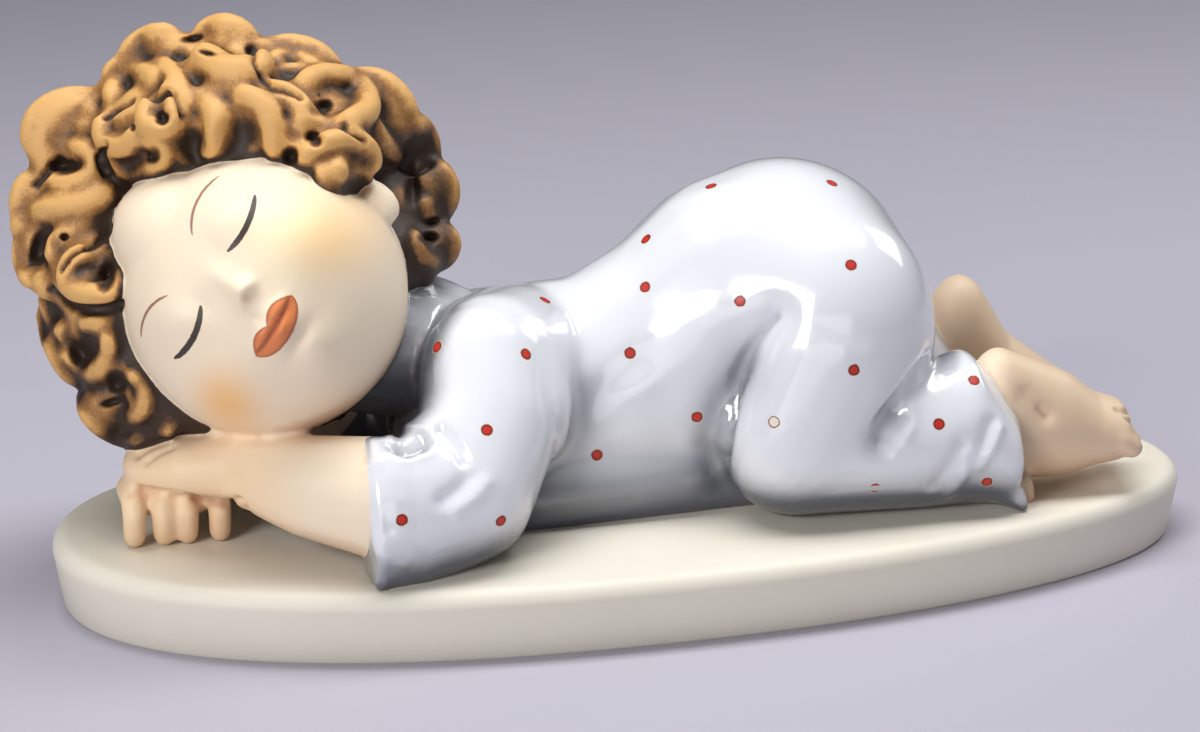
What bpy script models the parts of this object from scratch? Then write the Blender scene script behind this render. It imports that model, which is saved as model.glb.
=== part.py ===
"""Porcelain figurine of a curly-haired child, asleep on its knees and folded hands, on an oval slab.

The head lies toward -X, the feet toward +X and the face looks toward -Y. The origin is the centre of the
slab's underside. The slab is sized in metres. The child is carved in units of its own, 200 to its length,
measured from above the slab's middle and up from the slab's top.
"""

import math

import bmesh
import bpy
import numpy as np
from mathutils import Matrix, Vector

# Driving dimensions, in metres
BASE_LENGTH = 0.2015
BASE_WIDTH = 0.081
BASE_HEIGHT = 0.0125
BASE_RIM_RADIUS = 0.0030
BASE_FOOT_INSET = 0.0014
FIGURE_LENGTH = 0.200
SEAT_GAP = 0.0003

# The slab's outline, a rounded oval that is wider at the head's end
BASE_SIDES = 72
BASE_SQUARENESS = 2.2
BASE_TAPER = 0.12
RIM_STEPS = 3

# The child's own unit of length, how finely it is carved, and how far along the slab it lies
UNIT = FIGURE_LENGTH / 200
BODY_VOXEL = 1.0
BODY_SMOOTH_STEPS = 10
CARVING_VOXEL = 0.8
CARVING_SMOOTH_STEPS = 2
FIGURE_TRIANGLES = 8600
CHILD_SHIFT = -0.9

# The body's limbs in units, each a row of stations: a place and a radius, or a place and three radii
MIDDLE = 5.0
TORSO = [
    ((-24, MIDDLE, 12), (17, 22, 25)),
    ((-6, MIDDLE, 12), (14, 19, 26)),
    ((6, MIDDLE, 16), (15, 20, 29)),
    ((17, MIDDLE, 24), (19, 24, 30)),
    ((28, MIDDLE, 30), (27, 27, 27)),
]
SLEEVE = [
    ((-26, -8.5, 31), (12.5, 11.5, 12)),
    ((-27, -16, 20), (12, 11.5, 12.5)),
    ((-32, -23, 9), (12.5, 11, 14)),
    ((-43, -26.5, 8.5), (6, 10.5, 13.6)),
]
FAR_SLEEVE = [
    ((-29, 14, 23), (12, 11.5, 11.5)),
    ((-29, 22, 17), (12, 11.5, 12)),
    ((-33, 27, 9), (12, 10, 14)),
    ((-43, 29, 8.5), (6, 9.5, 13.6)),
]
CUFF = [
    ((-44, -26.6, 8.8), (4, 10.6, 13.6)),
    ((-48.5, -26.8, 8.8), (2, 11.2, 14.2)),
]
FAR_CUFF = [
    ((-44, 29, 8.8), (4, 9.8, 13.6)),
    ((-48.5, 29, 8.8), (2, 10.2, 14.2)),
]
THIGH = [
    ((35.5, -8, 30), (19, 18, 22)),
    ((26, -14.5, 10.5), (13.5, 12, 16)),
]
SHIN = [
    ((27, -14, 9.5), (13.5, 12.5, 15.5)),
    ((48, -14, 8), (12, 12, 14.5)),
    ((57, -13.5, 10.5), (4.5, 12, 16)),
    ((63.5, -13.5, 6), (3, 12.2, 11.5)),
]
NECK = [
    ((-58, 2, 36), 15),
    ((-34, 5, 30), 13),
]
FOREARM = [
    ((-46, -25.5, 11.8), 10.3),
    ((-57.5, -19.5, 12.6), 8.6),
    ((-67.5, -12.5, 14.2), 6.6),
]
LEFT_HAND = [
    ((-67.5, -12, 14.5), (6, 6.5, 5.8)),
    ((-77, -8.5, 14), (6, 7, 4.8)),
    ((-83.5, -4, 12.8), (4.2, 6, 3.6)),
]
FAR_FOREARM = [
    ((-46, 29, 11), 9.6),
    ((-58, 23, 10.5), 8.2),
    ((-70, 12, 9), 6.6),
]
RIGHT_HAND = [
    ((-72, 8, 8.5), (7, 7, 6)),
    ((-79, -3.5, 7.5), (8.6, 5, 4.6)),
]
NEAR_FOOT = [
    ((64, -12, 13.7), (6, 7.5, 12.2)),
    ((75, -12, 11.3), (5, 7.5, 9.7)),
    ((81, -12, 9), (5, 8, 7.2)),
    ((85.6, -12, 7.4), (3.6, 8, 5)),
]
FAR_FOOT = [
    ((67.5, 22, 17.5), (6.2, 7, 11)),
    ((74, 22, 10.5), (4.5, 7.5, 8)),
    ((84, 22, 5.6), (5, 8, 4.6)),
    ((91, 22, 3.6), (3.4, 8, 3.2)),
]

# The lower hand's fingers, drawn with their places along X left out, and the support under the near foot
FINGER_PLACES = (-85.9, -81.2, -77.2, -71.6)
FINGER_JOINTS = [((-3, 8.4), 2.6), ((-8.6, 8.2), 2.25), ((-10.4, 6.0), 2.15), ((-10.0, 1.4), 2.15)]
FOOT_PEG = ((67.2, -18.0, 0.0), (2.2, 2.2, 5.0))

# The toes, from the little one to the big one: across the foot, their radii and how far they reach
TOE_SPREAD = (-6.2, -3.2, -0.4, 2.6, 5.8)
TOE_RADII = (1.9, 2.0, 2.1, 2.2, 2.8)
TOE_REACH = 3.0
TOE_ARCH = 0.025
TOE_DROP = 0.45

# How the head lies, in degrees and units
SKULL = Vector((-62.65, -4.0, 41.7))
SKULL_RADIUS = 23.9
FACE_YAW = 16.65
FACE_TILT = 17.0
FACE_ROLL = 60.9

# The face's forms: across and up from its middle in degrees, how far out of the skull, and their radii
FACE_MIDDLE = {
    "nose bridge": (0, 3, -1.0, (1.7, 5.0, 2.2)),
    "nose tip": (0, -3, 0.4, (2.6, 2.6, 2.4)),
    "lower lip": (0, -20.5, -0.8, (3.5, 1.8, 2.0)),
    "chin": (0, -38, -3.6, (6.5, 5.5, 4.6)),
}
FACE_PAIRS = {
    "eyelid": (25.8, 12, -5.1, (8, 7, 5.2)),
    "cheek": (30, -14, -6.4, (12, 11, 7.2)),
    "upper lip": (3.6, -15.4, -0.7, (2.8, 1.6, 1.9)),
    "ear": (84, -6, -1.0, (3.4, 5.0, 2.6)),
}

# The hair's curls, in units, and where they stop, in degrees from the middle of the face
HAIR_CENTRE = Vector((-66.6, 6.6, 47.6))
HAIR_SEAT_RADIUS = 31.7
CURL_LATTICE = 124
CURL_RADIUS = 6.3
CURL_HEIGHT = 4.4
CURL_ROLL = 1.9
CURL_ROLL_LIFT = 3.5
CURL_ROLL_MARGIN = 0.4
CURL_BED_RADIUS = 8.5
CURL_BED_DEPTH = 6.0
HAIRLINE = 69.0
NAPE_LINE = 110.0
CHIN_LEVEL = -0.35
LIP_SPREAD = 30.0
LIP_SEAT_RADIUS = 26.0
LIP_LEAN = 0.3

# Folds of the near side: a path, how wide it spreads and how deep it is cut
FOLDS = [
    ([(22, -19, 38), (17.5, -19.5, 32), (15, -19, 26.5), (13.5, -18, 20), (12.7, -17, 13.5)], 2.2, 1.3),
    ([(39, -24.5, 17), (43.5, -23, 22.5)], 2.6, 3.0),
    ([(46.5, -22, 27), (49, -20, 30)], 2.4, 1.2),
    ([(56, -22.5, 20), (53.5, -24, 16.5), (50, -25.5, 9.5)], 1.8, 1.0),
    ([(62, -20, 18), (60, -24, 15), (57.5, -25, 7.5)], 1.6, 0.9),
    ([(-44.4, -27.5, 22), (-42, -28, 22)], 2.0, 2.2),
    ([(-37.5, -26, 22.5), (-36.5, -30, 20.5)], 1.6, 1.0),
    ([(-7, -13, 22), (-3, -12.5, 25.5), (0, -12.5, 28)], 2.6, 1.0),
]


def clear_scene():
    """Removes whatever the start-up scene holds."""
    for item in list(bpy.data.objects):
        bpy.data.objects.remove(item, do_unlink=True)


def material(name, colour, roughness, coat):
    """A plain finish of one colour."""
    made = bpy.data.materials.new(name)
    made.use_nodes = True
    shader = made.node_tree.nodes["Principled BSDF"]
    shader.inputs["Base Color"].default_value = (*colour, 1.0)
    shader.inputs["Roughness"].default_value = roughness
    shader.inputs["Metallic"].default_value = 0.0
    shader.inputs["Coat Weight"].default_value = coat
    return made


def object_of(name, bm):
    """A scene object made of a bmesh, which is freed."""
    mesh = bpy.data.meshes.new(name)
    bm.to_mesh(mesh)
    bm.free()
    made = bpy.data.objects.new(name, mesh)
    bpy.context.scene.collection.objects.link(made)
    return made


def applied(item):
    """The object with its modifiers' result as its own mesh."""
    graph = bpy.context.evaluated_depsgraph_get()
    mesh = bpy.data.meshes.new_from_object(item.evaluated_get(graph))
    item.modifiers.clear()
    item.data = mesh
    return item


def joined(name, items):
    """One object that holds the meshes of several, which are removed."""
    bm = bmesh.new()
    for item in items:
        bm.from_mesh(item.data)
        bpy.data.objects.remove(item, do_unlink=True)
    return object_of(name, bm)


def fuse(item, voxel, smoothing):
    """Melts overlapping closed shapes into one skin and smooths it."""
    remesh = item.modifiers.new("Fuse", "REMESH")
    remesh.mode = "VOXEL"
    remesh.voxel_size = voxel
    smooth = item.modifiers.new("Smooth", "SMOOTH")
    smooth.factor = 0.5
    smooth.iterations = smoothing
    return applied(item)


def ball(bm, at, radii, fineness=3):
    """Adds an ellipsoid."""
    size = Matrix.Diagonal((*radii, 1.0))
    place = Matrix.Translation(at)
    bmesh.ops.create_icosphere(bm, subdivisions=fineness, radius=1.0, matrix=place @ size)


def limb(bm, stations, fineness=3):
    """Adds a rounded limb: the hull of each station's ellipsoid and the next one's."""
    for ends in zip(stations, stations[1:]):
        span = bmesh.new()
        for at, radii in ends:
            if isinstance(radii, (int, float)):
                radii = (radii, radii, radii)
            ball(span, at, radii, fineness)
        hull = bmesh.ops.convex_hull(span, input=span.verts)
        inner = [part for part in hull["geom_interior"] if isinstance(part, bmesh.types.BMVert)]
        bmesh.ops.delete(span, geom=inner, context="VERTS")
        mesh = bpy.data.meshes.new("span")
        span.to_mesh(mesh)
        span.free()
        bm.from_mesh(mesh)
        bpy.data.meshes.remove(mesh)


def far_side(stations):
    """The same stations on the child's other side."""
    return [((at[0], 2 * MIDDLE - at[1], at[2]), radii) for at, radii in stations]


def face_frame():
    """The head's own axes: to the child's left, to its crown and out of its face."""
    yaw, tilt, roll = (math.radians(angle) for angle in (FACE_YAW, FACE_TILT, FACE_ROLL))
    out = Vector((-math.sin(yaw) * math.cos(tilt), -math.cos(yaw) * math.cos(tilt), math.sin(tilt)))
    level = Vector((0, 0, 1)).cross(out).normalized()
    rise = out.cross(level)
    side = math.cos(roll) * level + math.sin(roll) * rise
    crown = math.cos(roll) * rise - math.sin(roll) * level
    return Matrix((side, crown, out)).transposed()


FACE = face_frame()


def on_face(across, up, radius):
    """A place over the skull, by its angles from the middle of the face, in degrees."""
    across, up = math.radians(across), math.radians(up)
    own = Vector((math.cos(up) * math.sin(across), math.sin(up), math.cos(up) * math.cos(across)))
    return SKULL + FACE @ own * radius


def face_form(bm, across, up, proud, radii):
    """Adds an ellipsoid with its axes along the face's."""
    place = Matrix.Translation(on_face(across, up, SKULL_RADIUS + proud)) @ FACE.to_4x4()
    size = Matrix.Diagonal((*radii, 1.0))
    bmesh.ops.create_icosphere(bm, subdivisions=3, radius=1.0, matrix=place @ size)


def make_pyjamas():
    """The clothed body: torso, sleeves and trouser legs as one smooth skin."""
    bm = bmesh.new()
    for stations in (TORSO, SLEEVE, THIGH, SHIN, FAR_SLEEVE, far_side(THIGH), far_side(SHIN)):
        limb(bm, stations)
    body = object_of("pyjamas", bm)
    return fuse(body, BODY_VOXEL, BODY_SMOOTH_STEPS)


def make_cuffs():
    """The flared ends of the sleeves."""
    bm = bmesh.new()
    limb(bm, CUFF)
    limb(bm, FAR_CUFF)
    return object_of("cuffs", bm)


def make_arms():
    """The bare forearms and the hands folded under the cheek."""
    bm = bmesh.new()
    for stations in (NECK, FOREARM, LEFT_HAND, FAR_FOREARM, RIGHT_HAND):
        limb(bm, stations)
    for along in FINGER_PLACES:
        limb(bm, [((along, across, up), radius) for (across, up), radius in FINGER_JOINTS], 2)
    return object_of("arms", bm)


def make_foot(bm, stations):
    """Adds one foot with its five toes."""
    limb(bm, stations)
    (x, y, z), (_, _, depth) = stations[-1]
    outward = 1 if y > MIDDLE else -1
    for spread, radius in zip(TOE_SPREAD, TOE_RADII):
        side = y - outward * spread
        reach = TOE_REACH + TOE_DROP * radius - TOE_ARCH * spread * spread
        low = z - TOE_DROP * depth
        limb(bm, [((x, side, z), radius), ((x + reach, side, low), radius)], 2)


def make_feet():
    """Both feet and the little support under the near one."""
    bm = bmesh.new()
    make_foot(bm, NEAR_FOOT)
    make_foot(bm, FAR_FOOT)
    ball(bm, *FOOT_PEG)
    return object_of("feet", bm)


def make_head():
    """The round head with the forms of its face."""
    bm = bmesh.new()
    ball(bm, SKULL, (SKULL_RADIUS,) * 3, 4)
    for across, up, proud, radii in FACE_MIDDLE.values():
        face_form(bm, across, up, proud, radii)
    for across, up, proud, radii in FACE_PAIRS.values():
        face_form(bm, across, up, proud, radii)
        face_form(bm, -across, up, proud, radii)
    return object_of("head", bm)


def curl_places():
    """Even places over the hair, each with the way it faces, leaving out the face and the neck.

    Near the hairline they come down to the skull and turn to the front, as a rounded lip round the face.
    """
    golden = math.pi * (3 - math.sqrt(5))
    places = []
    for step in range(CURL_LATTICE):
        height = 1 - (2 * step + 1) / CURL_LATTICE
        ring = math.sqrt(1 - height * height)
        turn = golden * step
        outward = Vector((ring * math.cos(turn), ring * math.sin(turn), height))
        place = HAIR_CENTRE + HAIR_SEAT_RADIUS * outward
        from_skull = (place - SKULL).normalized()
        seen = FACE.transposed() @ from_skull
        from_face = math.degrees(math.acos(seen.z))
        limit = NAPE_LINE if seen.y < CHIN_LEVEL else HAIRLINE
        if from_face < limit or place.z < CURL_RADIUS:
            continue
        rise = min(1.0, (from_face - HAIRLINE) / LIP_SPREAD)
        on_lip = SKULL + LIP_SEAT_RADIUS * from_skull
        facing = (FACE.col[2] * (1 - rise) ** 2 + outward * (LIP_LEAN + rise)).normalized()
        places.append((on_lip.lerp(place, math.sqrt(rise)), facing))
    return places


def add_curl(bm, place, outward):
    """Adds one snail curl, a rolled rim round a hollow, on the bed of hair that carries it."""
    turned = outward.to_track_quat("Z", "Y").to_matrix().to_4x4()
    seat = Matrix.Translation(place) @ turned
    size = Matrix.Diagonal((CURL_RADIUS, CURL_RADIUS, CURL_HEIGHT, 1.0))
    bmesh.ops.create_icosphere(bm, subdivisions=2, radius=1.0, matrix=seat @ size)
    upright = Matrix.Rotation(math.pi / 2, 4, "X")
    shift = Matrix.Translation((CURL_RADIUS - CURL_ROLL - CURL_ROLL_MARGIN, 0, CURL_ROLL_LIFT))
    roll = bmesh.ops.create_circle(bm, segments=8, radius=CURL_ROLL, matrix=seat @ shift @ upright)
    bmesh.ops.spin(
        bm,
        geom=list({edge for corner in roll["verts"] for edge in corner.link_edges}),
        cent=seat.translation,
        axis=outward,
        angle=math.tau,
        steps=14,
        use_merge=True,
    )
    ball(bm, place - CURL_BED_DEPTH * outward, (CURL_BED_RADIUS,) * 3, 2)


def make_hair():
    """The mop of curls."""
    bm = bmesh.new()
    for place, outward in curl_places():
        add_curl(bm, place, outward)
    return object_of("hair", bm)


def distance_to_path(points, path):
    """How far each point is from the nearest place on a path of straight steps."""
    nearest = np.full(len(points), np.inf)
    for start, end in zip(path, path[1:]):
        start, step = np.array(start, float), np.array(end, float) - start
        along = np.clip((points - start) @ step / (step @ step), 0, 1)
        gap = np.linalg.norm(points - start - along[:, None] * step, axis=1)
        nearest = np.minimum(nearest, gap)
    return nearest


def carve(item, folds):
    """Presses folds into the skin along its own normals, on both of the child's sides."""
    skin = item.data.vertices
    points, normals = np.empty(len(skin) * 3, np.float32), np.empty(len(skin) * 3, np.float32)
    skin.foreach_get("co", points)
    skin.foreach_get("normal", normals)
    points, normals = points.reshape(-1, 3).astype(float), normals.reshape(-1, 3)
    moved = points.copy()
    for path, width, depth in folds:
        for sign in (1, -1):
            beside = [(x, MIDDLE + sign * (y - MIDDLE), z) for x, y, z in path]
            weight = np.exp(-((distance_to_path(points, beside) / width) ** 2))
            moved -= normals * (depth * weight)[:, None]
    skin.foreach_set("co", moved.ravel())
    item.data.update()


def cut_flat(item):
    """Takes off all that lies below the seat."""
    low, high = (Vector(item.bound_box[corner]) for corner in (0, 6))
    size = 2 * (high - low)
    middle = (low + high) / 2
    bm = bmesh.new()
    block = Matrix.Translation((middle.x, middle.y, -size.z / 2)) @ Matrix.Diagonal((*size, 1.0))
    bmesh.ops.create_cube(bm, size=1.0, matrix=block)
    cutter = object_of("cutter", bm)
    cut = item.modifiers.new("Seat", "BOOLEAN")
    cut.operation = "DIFFERENCE"
    cut.object = cutter
    cut.solver = "EXACT"
    applied(item)
    bpy.data.objects.remove(cutter, do_unlink=True)


def triangles_in(mesh):
    """How many triangles the mesh makes."""
    mesh.calc_loop_triangles()
    return len(mesh.loop_triangles)


def make_child():
    """The whole figure as one carved skin, thinned, and seated on the slab."""
    parts = [make_pyjamas(), make_cuffs(), make_arms(), make_feet(), make_head(), make_hair()]
    child = fuse(joined("sleeping_child", parts), CARVING_VOXEL, CARVING_SMOOTH_STEPS)
    carve(child, FOLDS)
    thin = child.modifiers.new("Thin", "DECIMATE")
    thin.ratio = FIGURE_TRIANGLES / triangles_in(child.data)
    applied(child)
    cut_flat(child)
    lift = Matrix.Translation((CHILD_SHIFT * UNIT, 0, BASE_HEIGHT + SEAT_GAP))
    child.data.transform(lift @ Matrix.Scale(UNIT, 4))
    child.data.materials.clear()
    child.data.materials.append(material("glazed porcelain", (0.86, 0.86, 0.88), 0.12, 0.6))
    child.data.shade_smooth()


def base_profile():
    """The slab's wall from the underside up: how far in from the outline, and how high."""
    steps = [(BASE_FOOT_INSET, 0.0)]
    for step in range(RIM_STEPS + 1):
        angle = math.pi / 2 * step / RIM_STEPS
        inset = BASE_RIM_RADIUS * (1 - math.cos(angle))
        height = BASE_HEIGHT - BASE_RIM_RADIUS * (1 - math.sin(angle))
        steps.append((inset, height))
    return steps


def outline_point(angle, inset):
    """A point of the slab's rounded outline, drawn in by the inset."""
    bend = 2 / BASE_SQUARENESS
    across, along = math.cos(angle), math.sin(angle)
    share = math.copysign(abs(across) ** bend, across)
    x = share * (BASE_LENGTH / 2 - inset)
    y = math.copysign(abs(along) ** bend, along) * (BASE_WIDTH / 2 - inset) * (1 - BASE_TAPER * share)
    return x, y


def make_base():
    """The oval slab, its wall leaning in to the underside, with a soft upper rim."""
    bm = bmesh.new()
    rings = []
    for inset, height in base_profile():
        ring = []
        for step in range(BASE_SIDES):
            x, y = outline_point(math.tau * step / BASE_SIDES, inset)
            ring.append(bm.verts.new((x, y, height)))
        rings.append([bm.edges.new((a, b)) for a, b in zip(ring, ring[1:] + ring[:1])])
    for lower, upper in zip(rings, rings[1:]):
        bmesh.ops.bridge_loops(bm, edges=lower + upper)
    for end in (rings[0], rings[-1]):
        bmesh.ops.contextual_create(bm, geom=end)
    bmesh.ops.recalc_face_normals(bm, faces=bm.faces)
    base = object_of("oval_base", bm)
    base.data.materials.append(material("biscuit porcelain", (0.72, 0.69, 0.63), 0.55, 0.0))
    base.data.shade_smooth()
    base.data.set_sharp_from_angle(angle=math.radians(40))


def main():
    """Clears the scene and makes both pieces."""
    clear_scene()
    make_base()
    make_child()


main()
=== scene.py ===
"""Looks of a porcelain figurine: a curly-haired child asleep in spotted pyjamas on an oval slab.

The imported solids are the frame. The child is modelled again here as one finely carved skin, with
its glaze, biscuit flesh and painted hair laid on by region, and so is the slab. Figure units are
the child's own: millimetres, measured from the slab's middle and up from its top. All else is in
metres.
"""

import logging
import math
import random
from dataclasses import dataclass, field
from enum import Enum
from typing import Callable, Iterable, Sequence

import bmesh
import bpy
import numpy as np
from mathutils import Matrix, Vector
from mathutils.bvhtree import BVHTree
from mathutils.kdtree import KDTree


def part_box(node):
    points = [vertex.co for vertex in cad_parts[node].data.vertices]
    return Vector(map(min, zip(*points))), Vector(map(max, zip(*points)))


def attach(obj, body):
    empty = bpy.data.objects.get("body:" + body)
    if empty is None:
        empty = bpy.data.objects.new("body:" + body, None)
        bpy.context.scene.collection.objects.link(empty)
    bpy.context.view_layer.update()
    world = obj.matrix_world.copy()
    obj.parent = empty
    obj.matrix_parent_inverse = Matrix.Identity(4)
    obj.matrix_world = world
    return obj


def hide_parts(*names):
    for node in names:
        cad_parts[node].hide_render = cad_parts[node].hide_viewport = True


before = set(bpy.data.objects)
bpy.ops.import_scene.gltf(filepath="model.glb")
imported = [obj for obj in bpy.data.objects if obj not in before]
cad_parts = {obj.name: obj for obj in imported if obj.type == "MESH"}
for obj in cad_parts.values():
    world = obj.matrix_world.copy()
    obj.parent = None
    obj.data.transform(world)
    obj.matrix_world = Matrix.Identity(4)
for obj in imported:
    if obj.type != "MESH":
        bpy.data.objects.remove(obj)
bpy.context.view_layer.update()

LOG = logging.getLogger("sleeping_child")

Point = tuple[float, float, float]
Pixel = tuple[float, float]
Station = tuple[Point, Point]
Colour = tuple[float, float, float]

MILLIMETRE = 0.001
SEAT_GAP = 0.3 * MILLIMETRE
ORIGIN = Vector()
X_WAY = Vector((1, 0, 0))
Z_WAY = Vector((0, 0, 1))


# The photograph's view and the child's own frame


@dataclass(frozen=True)
class PhotoView:
    """The camera that saw the figurine, and the way through each pixel of its picture."""

    target: Point = (-0.0027, 0.0128, 0.0317)
    azimuth: float = -12.0
    elevation: float = 19.0
    distance: float = 0.6
    focal: float = 3380.0
    width: int = 1200
    height: int = 732
    sensor: float = 36.0

    def axes(self) -> tuple[Vector, Vector, Vector]:
        """Gives the camera's own axes.

        Returns:
            The ways back to the camera, to its right and up.
        """
        turn, rise = math.radians(self.azimuth), math.radians(self.elevation)
        flat = math.cos(rise)
        back = Vector((math.sin(turn) * flat, -math.cos(turn) * flat, math.sin(rise)))
        right = Vector((math.cos(turn), math.sin(turn), 0.0))
        return back, right, back.cross(right)

    def place(self) -> Vector:
        """Returns where the camera stands."""
        return Vector(self.target) + self.axes()[0] * self.distance

    def ray(self, pixel: Pixel) -> Vector:
        """Gives the way from the camera through a pixel.

        Args:
            pixel: Column and row in the photograph.

        Returns:
            A direction of unit length.
        """
        back, right, up = self.axes()
        across = (pixel[0] - self.width / 2) / self.focal
        down = (pixel[1] - self.height / 2) / self.focal
        return (right * across - up * down - back).normalized()

    def make_camera(self) -> bpy.types.Object:
        """Creates the camera at the photograph's place and makes it the scene's own.

        Returns:
            The camera.
        """
        data = bpy.data.cameras.new("photo_view")
        data.sensor_fit = "HORIZONTAL"
        data.sensor_width = self.sensor
        data.lens = self.focal / self.width * self.sensor
        data.clip_start = 0.01
        data.clip_end = 20.0
        camera = bpy.data.objects.new("photo_view", data)
        bpy.context.scene.collection.objects.link(camera)
        back, right, up = self.axes()
        turned = Matrix((right, up, back)).transposed().to_4x4()
        camera.matrix_world = Matrix.Translation(self.place()) @ turned
        bpy.context.scene.camera = camera
        return camera


@dataclass(frozen=True)
class FigureFrame:
    """Where the child's own units lie in the row's frame."""

    unit: float = MILLIMETRE
    shift: float = -0.9
    seat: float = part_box("oval_base")[1].z + SEAT_GAP

    def to_world(self) -> Matrix:
        """Returns the matrix from figure units to metres."""
        lift = Matrix.Translation((self.shift * self.unit, 0.0, self.seat))
        return lift @ Matrix.Scale(self.unit, 4)


VIEW = PhotoView()
FIGURE = FigureFrame()
PIXELS_PER_UNIT = VIEW.focal / VIEW.distance * FIGURE.unit


# Modelling stock


class Clay:
    """Stock that shapes are added to, and which is then melted into one skin."""

    def __init__(self) -> None:
        """Starts with nothing."""
        self.bm = bmesh.new()

    def ball(
        self, place: Iterable[float], radii: Point, fineness: int = 3, turn: Matrix | None = None
    ) -> None:
        """Adds an ellipsoid.

        Args:
            place: Its middle.
            radii: Its three radii.
            fineness: How often its faces are divided.
            turn: How it is turned, or nothing.
        """
        matrix = Matrix.Translation(Vector(place))
        if turn is not None:
            matrix = matrix @ turn.to_4x4()
        matrix = matrix @ Matrix.Diagonal((*radii, 1.0))
        bmesh.ops.create_icosphere(self.bm, subdivisions=fineness, radius=1.0, matrix=matrix)

    def limb(self, stations: Sequence[Station], fineness: int = 3) -> None:
        """Adds a rounded limb: the hull of each station's ellipsoid and the next one's.

        Args:
            stations: Places with the radii there.
            fineness: How often each ellipsoid's faces are divided.
        """
        for ends in zip(stations, stations[1:]):
            span = Clay()
            for place, radii in ends:
                span.ball(place, radii, fineness)
            bmesh.ops.delete(span.bm, geom=span.bm.edges[:], context="EDGES_FACES")
            hull = bmesh.ops.convex_hull(span.bm, input=span.bm.verts)
            inner = [part for part in hull["geom_interior"] if isinstance(part, bmesh.types.BMVert)]
            bmesh.ops.delete(span.bm, geom=inner, context="VERTS")
            self.add(span.mesh("span"))

    def sweep(self, frames: Sequence[Matrix], sides: int = 12, ribs: float = 0.0) -> None:
        """Adds a roll: a ring that is drawn through a row of frames.

        Args:
            frames: Where the ring of unit radius stands at each step, with Z along the roll.
            sides: How many sides the ring has.
            ribs: How deep the grooves along the roll are, as a share of its radius.
        """
        roll = Clay()
        ring = bmesh.ops.create_circle(roll.bm, segments=sides, radius=1.0, cap_ends=True)["verts"]
        bmesh.ops.scale(roll.bm, vec=(1 - ribs, 1 - ribs, 1), verts=ring[::2])
        loop = list({edge for corner in ring for edge in corner.link_edges})
        bmesh.ops.transform(roll.bm, matrix=frames[0], verts=ring)
        for before, after in zip(frames, frames[1:]):
            grown = bmesh.ops.extrude_edge_only(roll.bm, edges=loop)["geom"]
            corners = [part for part in grown if isinstance(part, bmesh.types.BMVert)]
            loop = [part for part in grown if isinstance(part, bmesh.types.BMEdge)]
            bmesh.ops.transform(roll.bm, matrix=after @ before.inverted(), verts=corners)
        bmesh.ops.contextual_create(roll.bm, geom=loop)
        bmesh.ops.recalc_face_normals(roll.bm, faces=roll.bm.faces)
        self.add(roll.mesh("roll"))

    def add(self, mesh: bpy.types.Mesh, matrix: Matrix | None = None) -> None:
        """Adds a finished mesh, and removes its data unless it is placed as a copy.

        Args:
            mesh: The mesh.
            matrix: Where a copy of it goes, or nothing to use it up as it lies.
        """
        if matrix is None:
            self.bm.from_mesh(mesh)
            bpy.data.meshes.remove(mesh)
            return
        copy = mesh.copy()
        copy.transform(matrix)
        self.bm.from_mesh(copy)
        bpy.data.meshes.remove(copy)

    def cut_flat(self, level: float) -> None:
        """Cuts all shapes off flat at a level and closes the cuts.

        Args:
            level: The height of the cut. What lies below it goes.
        """
        parts = [*self.bm.verts, *self.bm.edges, *self.bm.faces]
        place, way = (0.0, 0.0, level), (0.0, 0.0, 1.0)
        bmesh.ops.bisect_plane(self.bm, geom=parts, plane_co=place, plane_no=way, clear_inner=True)
        open_edges = [edge for edge in self.bm.edges if edge.is_boundary]
        bmesh.ops.holes_fill(self.bm, edges=open_edges, sides=0)

    def mesh(self, name: str) -> bpy.types.Mesh:
        """Ends the work and gives what was made.

        Args:
            name: The mesh's name.

        Returns:
            The shapes as one mesh, still overlapping.
        """
        made = bpy.data.meshes.new(name)
        self.bm.to_mesh(made)
        self.bm.free()
        return made

    def fused(self, name: str, voxel: float, smooth_steps: int) -> bpy.types.Mesh:
        """Ends the work and melts the shapes into one smooth skin.

        Args:
            name: The mesh's name.
            voxel: How fine the skin is, in figure units.
            smooth_steps: How often it is smoothed.

        Returns:
            One closed skin.
        """
        return fused_mesh(self.mesh(name), voxel, smooth_steps)


def linked(name: str, mesh: bpy.types.Mesh) -> bpy.types.Object:
    """Links a new object that holds the mesh.

    Args:
        name: The object's name.
        mesh: Its mesh.

    Returns:
        The object.
    """
    made = bpy.data.objects.new(name, mesh)
    bpy.context.scene.collection.objects.link(made)
    return made


def with_modifiers(
    mesh: bpy.types.Mesh, prepare: Callable[[bpy.types.Object], None]
) -> bpy.types.Mesh:
    """Runs modifiers over a mesh.

    Args:
        mesh: The mesh, which is used up.
        prepare: Adds the modifiers to the object it is given.

    Returns:
        The result.
    """
    holder = linked("holder", mesh)
    prepare(holder)
    graph = bpy.context.evaluated_depsgraph_get()
    made = bpy.data.meshes.new_from_object(holder.evaluated_get(graph))
    made.name = mesh.name
    bpy.data.objects.remove(holder, do_unlink=True)
    bpy.data.meshes.remove(mesh)
    return made


def fused_mesh(mesh: bpy.types.Mesh, voxel: float, smooth_steps: int) -> bpy.types.Mesh:
    """Melts overlapping closed shapes into one skin.

    Args:
        mesh: The shapes, which are used up.
        voxel: How fine the skin is.
        smooth_steps: How often it is smoothed.

    Returns:
        One closed skin.
    """

    def prepare(holder: bpy.types.Object) -> None:
        """Adds the melting and the smoothing."""
        remesh = holder.modifiers.new("Fuse", "REMESH")
        remesh.mode = "VOXEL"
        remesh.voxel_size = voxel
        smooth = holder.modifiers.new("Smooth", "SMOOTH")
        smooth.factor = 0.5
        smooth.iterations = smooth_steps

    return with_modifiers(mesh, prepare)


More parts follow.
